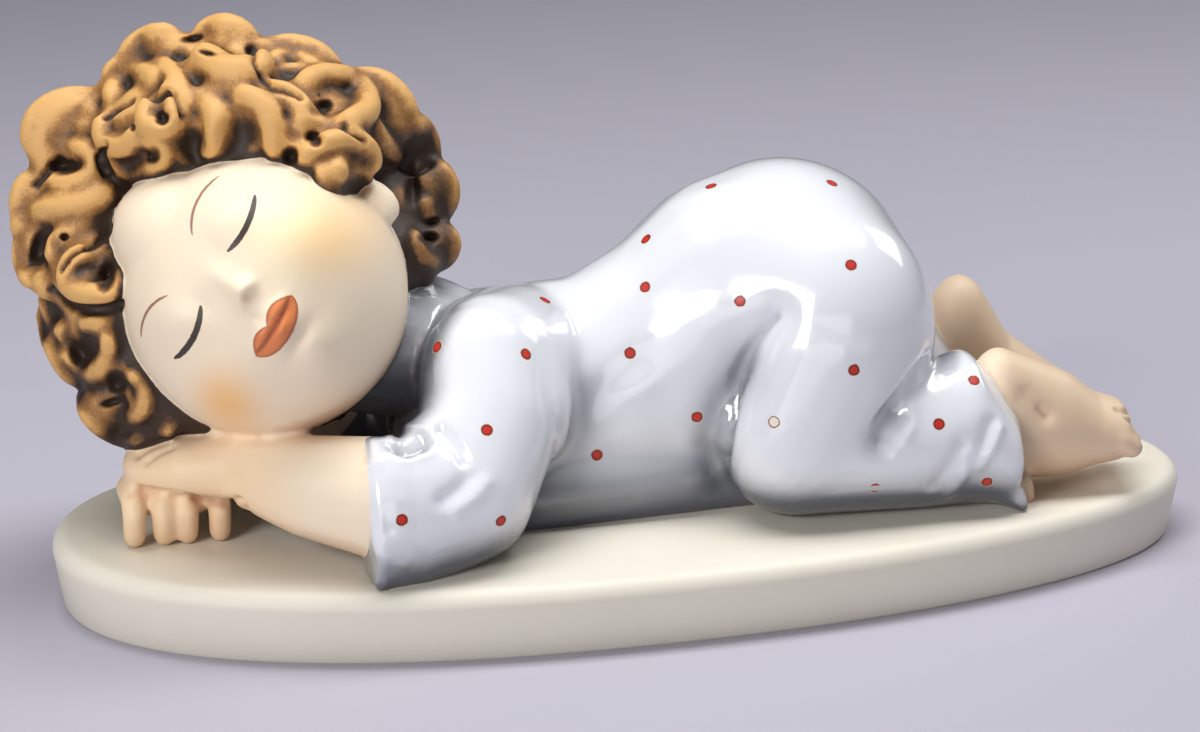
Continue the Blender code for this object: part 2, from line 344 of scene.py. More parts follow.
def rows_of(mesh: bpy.types.Mesh, kind: str) -> np.ndarray:
    """Returns the mesh's points ("co") or ways out ("normal") as rows of three numbers."""
    flat = np.empty(len(mesh.vertices) * 3, np.float32)
    mesh.vertices.foreach_get(kind, flat)
    return flat.reshape(-1, 3).astype(float)


def move_points(mesh: bpy.types.Mesh, points: np.ndarray) -> None:
    """Gives the mesh new points."""
    mesh.vertices.foreach_set("co", points.astype(np.float32).ravel())
    mesh.update()


def store(mesh: bpy.types.Mesh, name: str, values: np.ndarray) -> None:
    """Stores one value for each vertex of the mesh under a name."""
    mesh.attributes.new(name, "FLOAT", "POINT").data.foreach_set("value", values.astype(np.float32))


def tree_of(mesh: bpy.types.Mesh) -> BVHTree:
    """Returns a search tree over the mesh's faces."""
    bm = bmesh.new()
    bm.from_mesh(mesh)
    tree = BVHTree.FromBMesh(bm)
    bm.free()
    return tree


def tree_of_points(points: np.ndarray) -> KDTree:
    """Returns a search tree over points."""
    tree = KDTree(len(points))
    for index, point in enumerate(points):
        tree.insert(point, index)
    tree.balance()
    return tree


def depth_outside(points: np.ndarray, mesh: bpy.types.Mesh) -> np.ndarray:
    """Measures how far outside a closed skin each point lies.

    Args:
        points: Rows of three numbers.
        mesh: The closed skin.

    Returns:
        The distances, below nought inside the skin.
    """
    tree = tree_of(mesh)
    found = np.empty(len(points))
    for index, point in enumerate(points):
        place, normal, _, gap = tree.find_nearest(point)
        found[index] = gap if (Vector(point) - place).dot(normal) >= 0 else -gap
    return found


def distance_to_path(points: np.ndarray, path: np.ndarray) -> np.ndarray:
    """Measures how far each point is from the nearest place on a path of straight steps.

    Args:
        points: Rows of three numbers.
        path: The path's corners, as rows.

    Returns:
        The distances.
    """
    nearest = np.full(len(points), np.inf)
    for start, end in zip(path, path[1:]):
        step = end - start
        along = np.clip((points - start) @ step / (step @ step), 0.0, 1.0)
        gap = np.linalg.norm(points - start - along[:, None] * step, axis=1)
        nearest = np.minimum(nearest, gap)
    return nearest


def even_ways(count: int) -> list[Point]:
    """Spreads directions evenly round the sphere, from the top down.

    Args:
        count: How many.

    Returns:
        The directions, of unit length.
    """
    golden = math.pi * (3 - math.sqrt(5))
    ways = []
    for step in range(count):
        height = 1 - (2 * step + 1) / count
        ring = math.sqrt(1 - height * height)
        ways.append((ring * math.cos(golden * step), ring * math.sin(golden * step), height))
    return ways


def openness(
    mesh: bpy.types.Mesh, ways: int, reach: float, lift: float = 0.4, grazing: float = 0.15
) -> np.ndarray:
    """Measures how much open air each vertex of a standing skin sees, with the ground at nought.

    Args:
        mesh: The closed skin.
        ways: How many ways round the sphere are looked along.
        reach: How far anything still counts.
        lift: How far off the skin the eye is.
        grazing: How much a way has to lean off the skin to count.

    Returns:
        From nought in the deepest hollow to one in the open.
    """
    looks = even_ways(ways)
    tree = tree_of(mesh)
    points, normals = rows_of(mesh, "co"), rows_of(mesh, "normal")
    facing = normals @ np.array(looks).T
    found = np.empty(len(points))
    vectors = [Vector(look) for look in looks]
    for index, (point, normal, turned) in enumerate(zip(points, normals, facing)):
        start = Vector(point + lift * normal)
        seen = total = 0.0
        for number in np.nonzero(turned > grazing)[0]:
            way, weight = vectors[number], turned[number]
            gap = tree.ray_cast(start, way, reach)[3]
            if way.z < 0:
                ground = max(0.0, -start.z / way.z)
                gap = ground if gap is None else min(gap, ground)
            total += weight
            seen += weight * (1.0 if gap is None else min(1.0, gap / reach))
        found[index] = seen / max(total, 1e-6)
    return found


def smoothed_field(mesh: bpy.types.Mesh, values: np.ndarray, steps: int) -> np.ndarray:
    """Averages values with their neighbours' along the mesh's edges.

    Args:
        mesh: The mesh.
        values: One row for each vertex.
        steps: How often they are averaged.

    Returns:
        The smooth values.
    """
    edges = np.empty(len(mesh.edges) * 2, np.int32)
    mesh.edges.foreach_get("vertices", edges)
    first, second = edges[0::2], edges[1::2]
    count = len(mesh.vertices)
    degree = np.maximum(np.bincount(edges, minlength=count), 1)
    smooth = values.astype(float).copy()
    for _ in range(steps):
        for column in range(smooth.shape[1]):
            near = np.bincount(first, smooth[second, column], count)
            near += np.bincount(second, smooth[first, column], count)
            smooth[:, column] = (smooth[:, column] + near / degree) / 2
    return smooth


class Finder:
    """Finds the places on a skin, in figure units, that pixels of the photograph show."""

    reach: tuple[int, int, int] = (480, 720, 3)

    def __init__(self, mesh: bpy.types.Mesh) -> None:
        """Takes the skin that is looked at."""
        self.tree = tree_of(mesh)
        self.eye = FIGURE.to_world().inverted() @ VIEW.place()

    def at(self, pixel: Pixel) -> tuple[Vector, Vector]:
        """Finds the place at a pixel, or the nearest place in the air for a pixel off the skin.

        Args:
            pixel: Column and row in the photograph.

        Returns:
            The place and the skin's way out there.
        """
        way = VIEW.ray(pixel)
        place, normal, _, _ = self.tree.ray_cast(self.eye, way)
        if place is not None:
            return place, normal
        best = None
        for step in range(*self.reach):
            spot = self.eye + way * step
            _, normal, _, gap = self.tree.find_nearest(spot)
            if best is None or gap < best[2]:
                best = (spot, normal, gap)
        return best[0], best[1]

    def sees(self, place: Vector) -> bool:
        """Tells whether the photograph shows a place on the skin."""
        way = place - self.eye
        _, _, _, distance = self.tree.ray_cast(self.eye, way.normalized())
        return distance is not None and distance > way.length - 2.0

    def path(self, pixels: Sequence[Pixel]) -> np.ndarray:
        """Returns the places of several pixels as rows."""
        return np.array([self.at(pixel)[0] for pixel in pixels])


def curve_through(corners: Sequence[Pixel], step: float) -> list[Pixel]:
    """Draws a soft curve through points of the photograph.

    Args:
        corners: The points.
        step: How far apart the curve's points are, in pixels.

    Returns:
        Points along the curve.
    """
    ends = [corners[0], *corners, corners[-1]]
    drawn = []
    for four in zip(ends, ends[1:], ends[2:], ends[3:]):
        count = max(1, round(math.dist(four[1], four[2]) / step))
        for share in (index / count for index in range(count)):
            weights = (
                -0.5 * share + share**2 - 0.5 * share**3,
                1 - 2.5 * share**2 + 1.5 * share**3,
                0.5 * share + 2 * share**2 - 1.5 * share**3,
                -0.5 * share**2 + 0.5 * share**3,
            )
            x, y = (sum(w * p[axis] for w, p in zip(weights, four)) for axis in (0, 1))
            drawn.append((x, y))
    return drawn + [corners[-1]]


# Marks laid on the finished skin


class Region(Enum):
    """What a part of the child is finished as. The values name what is stored on the skin."""

    CLOTH = "cloth"
    FLESH = "flesh"
    HAIR = "hair"


@dataclass(frozen=True)
class Stroke:
    """A stroke of a modelling tool, drawn over pixels of the photograph and pressed in."""

    path: tuple[Pixel, ...]
    width: float
    depth: float
    both_sides: bool = False


@dataclass(frozen=True)
class Dab:
    """A soft swelling or hollow of the face, placed to the child's left and to its crown."""

    at: tuple[float, float]
    radii: tuple[float, float]
    height: float


@dataclass(frozen=True)
class Skull:
    """The round head and its face's axes."""

    place: Point = (-62.65, -4.0, 41.7)
    radius: float = 23.9
    yaw: float = 16.65
    tilt: float = 17.0
    roll: float = 60.9

    def axes(self) -> Matrix:
        """Gives the face's axes.

        Returns:
            Columns to the child's left, to its crown and out of its face.
        """
        yaw, tilt, roll = (math.radians(angle) for angle in (self.yaw, self.tilt, self.roll))
        flat = math.cos(tilt)
        out = Vector((-math.sin(yaw) * flat, -math.cos(yaw) * flat, math.sin(tilt)))
        level = Vector((0.0, 0.0, 1.0)).cross(out).normalized()
        rise = out.cross(level)
        side = math.cos(roll) * level + math.sin(roll) * rise
        crown = math.cos(roll) * rise - math.sin(roll) * level
        return Matrix((side, crown, out)).transposed()


SKULL = Skull()


# The child's sub-assemblies


@dataclass
class Pyjamas:
    """The clothed body with its sleeves, cuffs and trouser legs."""

    middle: float = 5.0
    voxel: float = 0.8
    smooth_steps: int = 15
    limb_steps: int = 10
    joint_steps: int = 4
    underside: float = -1.3
    torso: tuple[Station, ...] = (
        ((-24, 5, 14), (17, 19.5, 23)),
        ((-6, 5, 14), (14.5, 19, 24)),
        ((6, 5, 18), (15, 19, 27)),
        ((17, 5, 25), (18.5, 21, 29)),
        ((29, 5, 30), (24.8, 25, 27)),
    )
    belly: tuple[Station, ...] = (
        ((-20, 5, 5), (12.5, 21.5, 15)),
        ((25, 5, 7), (12, 18.5, 14)),
    )
    hip: Station = ((34.7, -8, 30), (18, 18, 22))
    sleeve: tuple[Station, ...] = (
        ((-26, -9.5, 28), (12, 11.3, 11.4)),
        ((-27, -16, 20), (12, 11.5, 12.5)),
        ((-32.5, -23, 11), (12, 11.3, 12.5)),
        ((-43, -26.5, 8.5), (6, 10.5, 13.6)),
    )
    far_sleeve: tuple[Station, ...] = (
        ((-29, 14, 23), (12, 11.5, 11.5)),
        ((-29, 22, 17), (12, 11.5, 12)),
        ((-33, 27, 9), (12, 10, 14)),
        ((-43, 29, 8.5), (6, 9.5, 13.6)),
    )
    cuff: tuple[Station, ...] = (
        ((-44, -26.6, 8.8), (4, 10.6, 13.6)),
        ((-48.5, -26.8, 8.8), (2, 11.2, 14.2)),
    )
    far_cuff: tuple[Station, ...] = (
        ((-44, 29, 8.8), (4, 9.8, 13.6)),
        ((-48.5, 29, 8.8), (2, 10.2, 14.2)),
    )
    leg: tuple[Station, ...] = (
        ((33.3, -11.5, 27), (16.4, 15.6, 18.5)),
        ((27.4, -14.5, 14), (15.3, 12.8, 14.8)),
    )
    shin: tuple[Station, ...] = (
        ((27, -14, 12.5), (13.5, 12.7, 13.3)),
        ((48, -14, 10.75), (12, 12.3, 12)),
        ((57, -13.5, 12.5), (4.5, 12.2, 14)),
        ((64, -13.5, 8), (2.4, 12.4, 9.6)),
    )
    hem_corner: tuple[Station, ...] = (
        ((62.5, -19.5, 4.5), (3, 4, 4.5)),
        ((65.6, -23.6, 0.6), (1, 1, 1)),
    )
    cuff_corner: tuple[Station, ...] = (
        ((-46.8, -31, 3.5), (2.5, 4, 4)),
        ((-48.8, -35.6, 0.5), (1, 1, 1)),
    )
    collar: tuple[Station, ...] = (
        ((-58, 2, 35), (14.5, 14.5, 14.5)),
        ((-34, 5, 27), (13, 13, 12.5)),
    )
    shoulder: tuple[Station, ...] = (
        ((-19, 1, 23), (14, 15, 15.5)),
        ((-24.5, -7, 28), (13.2, 12, 11.8)),
        ((-23.5, -12.5, 21), (12, 11, 11.5)),
    )
    elbow: Station = ((-36, -21.5, 18.0), (7.5, 8.0, 7.0))

    def far_side(self, stations: Sequence[Station]) -> list[Station]:
        """Returns the same stations on the child's other side."""
        return [((at[0], 2 * self.middle - at[1], at[2]), radii) for at, radii in stations]

    def body(self) -> bpy.types.Mesh:
        """Models the body, softly rounded where its limbs meet.

        Returns:
            Its skin.
        """
        clay = Clay()
        for stations in (self.torso, self.belly, self.shoulder, self.far_sleeve):
            clay.limb(stations)
        seat = self.torso[-1]
        for hip in (self.hip, *self.far_side([self.hip])):
            clay.limb([seat, hip], 4)
        clay.cut_flat(self.underside)
        return clay.fused("body", self.voxel, self.smooth_steps)

    def limbs(self) -> bpy.types.Mesh:
        """Models the sleeves and the folded legs, which lie against the body with a crease between.

        Returns:
            Their skin.
        """
        clay = Clay()
        clay.limb(self.sleeve)
        clay.limb(self.far_sleeve)
        clay.ball(*self.elbow)
        for stations in (self.leg, self.shin):
            clay.limb(stations)
            clay.limb(self.far_side(stations))
        clay.cut_flat(self.underside)
        return clay.fused("limbs", self.voxel, self.limb_steps)

    def build(self, voxel: float) -> bpy.types.Mesh:
        """Models the whole garment.

        Args:
            voxel: How fine its skin is.

        Returns:
            Its skin.
        """
        clay = Clay()
        clay.add(self.body())
        clay.add(self.limbs())
        for stations in (self.collar, self.cuff, self.far_cuff, self.hem_corner, self.cuff_corner):
            clay.limb(stations)
        clay.limb(self.far_side(self.hem_corner))
        return clay.fused("pyjamas", voxel, self.joint_steps)


@dataclass
class Flesh:
    """The head, the folded arms and hands, and the feet."""

    forearm: tuple[Station, ...] = (
        ((-46, -25.5, 11.8), (10.3, 10.3, 10.3)),
        ((-57.5, -19.5, 12.6), (8.6, 8.6, 8.6)),
        ((-67.5, -12.5, 14.2), (6.6, 6.6, 6.6)),
    )
    left_hand: tuple[Station, ...] = (
        ((-67.5, -12, 14.5), (6, 6.5, 5.8)),
        ((-77, -8.5, 14), (6, 7, 4.8)),
        ((-83.5, -4, 12.8), (4.2, 6, 3.6)),
    )
    far_forearm: tuple[Station, ...] = (
        ((-46, 29, 11), (9.6, 9.6, 9.6)),
        ((-58, 23, 10.5), (8.2, 8.2, 8.2)),
        ((-70, 12, 9), (6.6, 6.6, 6.6)),
    )
    right_hand: tuple[Station, ...] = (
        ((-72, 8, 8.5), (7, 7, 6)),
        ((-79, -3.5, 7.5), (8.6, 5, 4.6)),
    )
    finger_places: tuple[float, ...] = (-86.4, -81.4, -77.5, -72.0)
    finger_joints: tuple[tuple[tuple[float, float], float], ...] = (
        ((-3.0, 8.4), 2.5),
        ((-7.6, 8.0), 2.1),
        ((-9.0, 5.6), 2.0),
        ((-8.0, 1.5), 1.9),
    )
    near_foot: tuple[Station, ...] = (
        ((64, -12, 13.7), (6, 7.5, 12.2)),
        ((75, -12, 11.3), (5, 7.5, 9.7)),
        ((80.5, -11.6, 9.8), (5, 7.6, 6.8)),
        ((85.2, -11.4, 9.4), (3.6, 7.8, 5.6)),
    )
    far_foot: tuple[Station, ...] = (
        ((67.5, 22, 17.5), (6.2, 7, 11)),
        ((74, 22, 10.5), (4.5, 7.5, 8)),
        ((84, 22, 5.6), (5, 8, 4.6)),
        ((89, 22, 4.2), (3.4, 8, 3.4)),
    )
    peg: Station = ((67.2, -18.0, 0.0), (2.2, 2.2, 5.0))
    toe_spread: tuple[float, ...] = (-6.2, -3.2, -0.4, 2.6, 5.8)
    toe_radii: tuple[float, ...] = (2.0, 2.1, 2.2, 2.4, 3.0)
    forehead: Station = ((0.8, 9.0, -2.0), (14.6, 19.9, 20.5))
    ear: Station = ((22.4, -7.8, 0.8), (3.6, 5.2, 2.8))

    def arms(self, clay: Clay) -> None:
        """Adds both forearms, the hands and the lower hand's fingers."""
        for stations in (self.forearm, self.left_hand, self.far_forearm, self.right_hand):
            clay.limb(stations)
        for along in self.finger_places:
            clay.limb([((along, y, z), (size,) * 3) for (y, z), size in self.finger_joints])

    def foot(self, clay: Clay, stations: Sequence[Station], outward: int) -> None:
        """Adds one foot with its five toes.

        Args:
            clay: What it is added to.
            stations: The foot's stations, from the ankle on.
            outward: Which way along Y its little toe lies.
        """
        clay.limb(stations)
        (x, y, z), (_, _, depth) = stations[-1]
        for spread, radius in zip(self.toe_spread, self.toe_radii):
            side = y - outward * spread
            reach = 2.2 + 0.35 * radius - 0.025 * spread * spread
            tip = (x + reach, side, z - 0.30 * depth)
            clay.limb([((x, side, z), (radius,) * 3), (tip, (radius,) * 3)])

    def head(self, clay: Clay) -> None:
        """Adds the round head with its ears."""
        clay.ball(SKULL.place, (SKULL.radius,) * 3, 5)
        clay.ball(self.in_face(self.forehead[0]), self.forehead[1], 5, SKULL.axes())
        for side in (-1, 1):
            place = self.in_face((side * self.ear[0][0], *self.ear[0][1:]))
            clay.ball(place, self.ear[1], 4, SKULL.axes())

    def in_face(self, own: Point) -> Vector:
        """Returns the place this far to the child's left, to its crown and out of its face."""
        return Vector(SKULL.place) + SKULL.axes() @ Vector(own)

    def build(self, voxel: float) -> bpy.types.Mesh:
        """Models all the bare skin.

        Args:
            voxel: How fine its skin is.

        Returns:
            Its skin.
        """
        clay = Clay()
        self.arms(clay)
        self.foot(clay, self.near_foot, -1)
        self.foot(clay, self.far_foot, 1)
        clay.ball(*self.peg)
        self.head(clay)
        return clay.fused("flesh", voxel, 2)


@dataclass(frozen=True)
class Lock:
    """A fat roll of hair drawn over pixels of the photograph, with its radius in pixels there."""

    path: tuple[Pixel, ...]
    radius: float
    lift: float = 0.35
    tip: float = 0.75


@dataclass(frozen=True)
class Hole:
    """A drilled hole: its middle and two radii in pixels, its depth in units and its turn."""

    at: Pixel
    radii: tuple[float, float]
    depth: float
    turn: float = 0.0


LOCKS = (
    Lock(((36, 156), (31, 140), (37, 118), (55, 103), (78, 97), (99, 98)), 8),
    Lock(((52, 145), (48, 130), (58, 116), (78, 110), (95, 112)), 8, 0.2),
    Lock(((72, 140), (74, 128), (90, 124)), 8, 0.0),
    Lock(
        ((36, 170), (48, 154), (68, 147), (88, 150), (98, 162), (88, 177), (68, 184),
        (48, 182)), 7, 0.4
    ),
    Lock(((26, 240), (30, 226), (48, 216), (74, 207), (98, 198), (112, 186)), 12, 0.5),
    Lock(((34, 172), (25, 188), (21, 206), (22, 224)), 8, 0.3),
    Lock(((50, 202), (68, 193), (88, 186), (106, 176)), 8, 0.2),
    Lock(
        ((106, 84), (118, 72), (134, 64), (150, 63), (166, 70), (178, 83), (186, 98),
        (188, 114)), 8, 0.7
    ),
    Lock(((112, 104), (120, 90), (134, 80), (149, 79), (160, 88)), 9, 0.6),
    Lock(
        ((168, 92), (177, 105), (177, 120), (166, 130), (152, 126), (150, 112),
        (158, 103)), 8.5, 0.8
    ),
    Lock(((108, 116), (105, 130), (112, 142), (126, 145), (139, 138), (142, 124)), 9, 0.5),
    Lock(
        ((118, 150), (122, 164), (136, 172), (152, 170), (164, 160), (163, 146), (150, 138),
        (138, 141)), 8, 0.3
    ),
    Lock(((190, 98), (206, 102), (218, 114), (222, 130), (215, 145), (203, 152)), 9.5, 0.5),
    Lock(((198, 116), (206, 126), (200, 138)), 7, 0.0),
    Lock(((122, 60), (140, 45), (160, 36), (180, 36)), 9, 0.3),
    Lock(((150, 58), (168, 52), (186, 52), (200, 60)), 8, 0.3),
    Lock(((196, 44), (212, 32), (230, 31), (245, 38), (250, 50)), 10, 0.4),
    Lock(((200, 62), (214, 72), (232, 80), (252, 78), (262, 66)), 13, 0.6),
    Lock(((204, 88), (222, 94), (240, 92), (256, 88)), 9, 0.3),
    Lock(((212, 52), (228, 54), (244, 58)), 8, 0.3),
    Lock(((262, 50), (284, 46), (306, 49), (324, 58), (336, 72)), 8, 0.3),
    Lock(((268, 62), (288, 58), (308, 62), (326, 74)), 7, 0.3),
    Lock(((278, 72), (298, 72), (314, 78)), 7, 0.1),
    Lock(((300, 90), (318, 83), (340, 85), (356, 96), (361, 112), (352, 125), (338, 128)), 11, 0.6),
    Lock(((300, 104), (310, 118), (322, 128)), 7, 0.2),
    Lock(((350, 78), (370, 80), (388, 88), (402, 103), (409, 120)), 9, 0.3),
    Lock(((368, 96), (382, 104), (390, 120), (392, 138)), 9, 0.4),
    Lock(((400, 116), (414, 128), (424, 144), (424, 160), (412, 170)), 10, 0.4),
    Lock(((370, 118), (374, 134), (384, 150), (398, 164)), 9, 0.2),
    Lock(((420, 164), (434, 172), (443, 188), (441, 204), (430, 216), (420, 222)), 10, 0.4),
    Lock(((416, 180), (424, 194), (420, 208)), 10, 0.1),
    Lock(
        ((412, 232), (412, 248), (421, 260), (436, 261), (447, 250), (446, 236),
        (436, 228)), 8.5, 0.4
    ),
    Lock(((236, 98), (252, 104), (266, 116), (273, 132), (277, 148), (286, 160)), 10, 0.7),
    Lock(((258, 94), (278, 96), (295, 106), (304, 120), (302, 136)), 9.5, 0.6),
    Lock(((286, 132), (292, 146), (304, 152)), 7, 0.2),
    Lock(
        ((302, 164), (312, 152), (328, 143), (346, 140), (361, 145), (370, 158), (370, 172)), 8, 0.5
    ),
    Lock(((322, 164), (325, 180), (334, 194), (348, 204), (360, 206)), 8, 0.6),
    Lock(((340, 158), (336, 170), (340, 182)), 8, 0.5),
    Lock(((113, 204), (117, 222), (120, 240), (121, 258)), 8, 0.1),
    Lock(((22, 236), (22, 254), (27, 272), (35, 288)), 7, 0.3),
    Lock(((54, 262), (57, 246), (70, 234), (88, 226), (104, 217), (114, 206)), 8, 0.3),
    Lock(((44, 288), (40, 276), (46, 262)), 7, 0.1),
    Lock(
        ((92, 252), (76, 260), (70, 276), (78, 291), (95, 297), (112, 293), (121, 280),
        (118, 264), (106, 252)), 9, 0.6
    ),
    Lock(((88, 272), (86, 282), (94, 288)), 6, 0.3),
    Lock(((42, 306), (46, 330), (55, 354), (70, 374)), 6, 0.2),
    Lock(
        ((66, 324), (60, 340), (65, 358), (78, 372), (94, 373), (107, 362), (111, 345),
        (106, 330)), 8.5, 0.5
    ),
    Lock(((80, 326), (96, 322), (108, 322)), 6, 0.2),
    Lock(((86, 386), (86, 404), (96, 420), (112, 431), (132, 438), (154, 436), (174, 424)), 8, 0.2),
    Lock(
        ((104, 392), (104, 406), (116, 415), (132, 415), (146, 405), (149, 390), (142, 377),
        (128, 370)), 8.5, 0.6
    ),
    Lock(((126, 392), (134, 396), (138, 388)), 6, 0.2),
    Lock(((96, 378), (104, 370), (116, 364)), 7, 0.3),
)

HOLES = (
    Hole((162, 118), (6, 6), 3.4),
    Hole((132.5, 127), (3.0, 3.5), 2.2),
    Hole((153, 155), (7, 7), 2.6),
    Hole((195, 147), (13, 14), 2.4),
    Hole((66, 166), (13, 6.5), 2.6, 5),
    Hole((192, 39), (9, 3.5), 1.6, -10),
    Hole((39, 250), (8, 16), 2.4, 12),
    Hole((64, 237), (3.5, 3), 1.8),
    Hole((106, 278), (8, 12), 3.2, 5),
    Hole((83, 348), (12, 17), 2.8, 20),
    Hole((117, 382), (9, 9), 2.8),
    Hole((112, 402), (9, 3), 1.4, -15),
    Hole((291, 155), (6.5, 6.5), 2.6),
    Hole((314, 139), (8, 6), 2.8, 40),
    Hole((358, 187), (9, 11), 2.4, 20),
    Hole((322, 108), (9, 6.5), 2.4, -35),
    Hole((236, 138), (16, 18), 1.8, 20),
    Hole((429, 238), (7, 5), 2.6),
    Hole((412, 190), (6, 14), 1.8),
    Hole((432, 222), (7, 4), 1.8, -20),
    Hole((207, 53), (9, 2.5), 1.4, 15),
)

# Lines between the curls that are cut deeper
VALLEYS = (
    ((252, 50), (258, 66), (268, 84), (284, 90), (300, 96)),
    ((164, 92), (172, 92), (180, 104), (184, 116)),
    ((108, 116), (118, 108), (130, 101)),
    ((60, 268), (74, 254), (96, 243), (112, 226)),
    ((52, 290), (64, 302), (84, 309), (108, 309), (122, 304)),
    ((60, 160), (46, 172), (36, 184)),
    ((343, 125), (354, 132), (364, 140)),
    ((106, 172), (100, 160), (104, 146)),
    ((152, 96), (158, 98), (164, 92)),
    ((402, 166), (414, 172), (428, 164)),
)


@dataclass
class Hair:
    """The mop of snail curls: rolled as the photograph shows them, evenly set where it doesn't."""

    centre: Point = (-66.6, 6.6, 47.6)
    seat_radius: float = 31.7
    lattice: int = 124
    curl_radius: float = 6.3
    hairline: float = 69.0
    crown_line: float = 30.0
    crown_spread: float = 30.0
    nape_line: float = 110.0
    ear_level: float = -0.02
    chin_level: float = -0.35
    lip_spread: float = 30.0
    lip_seat_radius: float = 26.0
    lip_lean: float = 0.3
    bed_radius: float = 8.5
    bed_depth: float = 6.6
    roll_steps: int = 14
    drawn_step: float = 3.0
    fullness: float = 1.42
    lift: float = 0.8
    bedding: float = 1.5
    bluntness: float = 0.12
    coil_reach: tuple[float, float] = (0.72, 0.6)
    coil_size: tuple[float, float] = (0.29, 0.08)
    coil_height: tuple[float, float] = (0.12, 0.34)
    coil_ribs: float = 0.14
    ribs: float = 0.09
    smooth_steps: int = 10
    seen_limit: float = 0.12
    seed: int = 7

    def curl_shape(self, hand: int, turns: float) -> bpy.types.Mesh:
        """Rolls one curl of unit radius, facing +Z: a tapering roll that winds in over a low dome.

        Args:
            hand: Which way it winds.
            turns: How often it winds round.

        Returns:
            The curl's mesh.
        """
        clay = Clay()
        clay.ball((0, 0, -0.3), (0.94, 0.94, 0.55), 3)
        steps = round(self.roll_steps * turns)
        frames = []
        for step in range(steps + 1):
            share = step / steps
            reach = self.coil_reach[0] - self.coil_reach[1] * share**0.9
            size = self.coil_size[0] - self.coil_size[1] * share
            height = self.coil_height[0] + self.coil_height[1] * share
            turned = Matrix.Rotation(hand * math.tau * turns * share, 4, "Z")
            upright = Matrix.Rotation(-hand * math.pi / 2, 4, "X")
            seat = turned @ Matrix.Translation((reach, 0, height)) @ upright
            frames.append(seat @ Matrix.Diagonal((size, size, size, 1.0)))
        clay.sweep(frames, 12, self.coil_ribs)
        return clay.mesh("curl")

    def lattice_places(self) -> list[tuple[Vector, Vector]]:
        """Spreads places evenly over the hair, leaving out the face, the ear and the neck.

        Near the hairline they come down to the skull and turn forward, as a lip round the face.

        Returns:
            Each place with the way it faces.
        """
        axes = SKULL.axes()
        places = []
        for outward in map(Vector, even_ways(self.lattice)):
            place = Vector(self.centre) + self.seat_radius * outward
            from_skull = (place - Vector(SKULL.place)).normalized()
            seen = axes.transposed() @ from_skull
            from_face = math.degrees(math.acos(seen.z))
            level = self.ear_level if seen.x > 0 else self.chin_level
            round_face = math.degrees(math.atan2(seen.x, seen.y))
            crown = math.exp(-((round_face / self.crown_spread) ** 2))
            limit = self.hairline + self.crown_line * crown
            if seen.y < level:
                limit = self.nape_line
            if from_face < limit or place.z < self.curl_radius:
                continue
            rise = min(1.0, (from_face - self.hairline) / self.lip_spread)
            on_lip = Vector(SKULL.place) + self.lip_seat_radius * from_skull
            facing = axes.col[2] * (1 - rise) ** 2 + outward * (self.lip_lean + rise)
            places.append((on_lip.lerp(place, math.sqrt(rise)), facing.normalized()))
        return places

    def bed(self) -> bpy.types.Mesh:
        """Models the mop under the curls.

        Returns:
            A smooth skin.
        """
        clay = Clay()
        for place, facing in self.lattice_places():
            clay.ball(place - self.bed_depth * facing, (self.bed_radius,) * 3, 3)
        return clay.fused("bed", 1.0, 14)

    def add_lock(self, clay: Clay, lock: Lock, finder: Finder) -> None:
        """Lays one roll of hair on the mop.

        Args:
            clay: What it is added to.
            lock: The roll.
            finder: Finds its places on the mop.
        """
        radius = self.fullness * lock.radius / PIXELS_PER_UNIT
        roll = Clay()
        found = [finder.at(pixel) for pixel in curve_through(lock.path, self.drawn_step)]
        places = np.array([place + way * self.lift * lock.lift * radius for place, way in found])
        ways = np.array([normal for _, normal in found])
        for _ in range(4):
            places[1:-1] = (places[:-2] + 2 * places[1:-1] + places[2:]) / 4
            ways[1:-1] = (ways[:-2] + 2 * ways[1:-1] + ways[2:]) / 4
        steps = np.linalg.norm(np.diff(places, axis=0), axis=1)
        along = np.concatenate([[0.0], np.cumsum(steps)])
        frames = []
        last = len(places) - 1
        for index, place in enumerate(places):
            share = along[index] / along[-1]
            before, after = places[max(index - 1, 0)], places[min(index + 1, last)]
            tangent = Vector(after - before).normalized()
            side = tangent.cross(Vector(ways[index])).normalized()
            full = radius * (1 + (lock.tip - 1) * abs(2 * share - 1) ** 2)
            near_end = min(1.0, min(along[index], along[-1] - along[index]) / full)
            size = full * math.sqrt(max(self.bluntness, 1 - (1 - near_end) ** 2))
            turned = Matrix((side, tangent.cross(side), tangent)).transposed().to_4x4()
            frames.append(Matrix.Translation(place) @ turned @ Matrix.Scale(size, 4))
            if index % 2 == 0:
                bed = self.bedding * radius
                roll.ball(place - ways[index] * self.bedding * radius, (bed,) * 3, 2)
        roll.sweep(frames, 14, self.ribs)
        clay.add(roll.mesh("lock"))

    def build(self, voxel: float) -> bpy.types.Mesh:
        """Models the whole head of hair.

        Args:
            voxel: How fine its skin is.

        Returns:
            Its skin.
        """
        draw = random.Random(self.seed)
        shapes = [self.curl_shape(hand, turns) for hand in (-1, 1) for turns in (1.2, 1.6)]
        bed = self.bed()
        finder = Finder(bed)
        clay = Clay()
        clay.add(bed, Matrix.Identity(4))
        eye = (VIEW.place() - FIGURE.to_world() @ Vector(self.centre)).normalized()
        for place, facing in self.lattice_places():
            turned = facing.to_track_quat("Z", "Y").to_matrix().to_4x4()
            turned = turned @ Matrix.Rotation(draw.uniform(0, math.tau), 4, "Z")
            size = self.curl_radius * draw.uniform(0.92, 1.12)
            shape = draw.choice(shapes)
            if facing.dot(eye) < self.seen_limit:
                clay.add(shape, Matrix.Translation(place) @ turned @ Matrix.Scale(size, 4))
        for lock in LOCKS:
            self.add_lock(clay, lock, finder)
        return clay.fused("hair", voxel, self.smooth_steps)


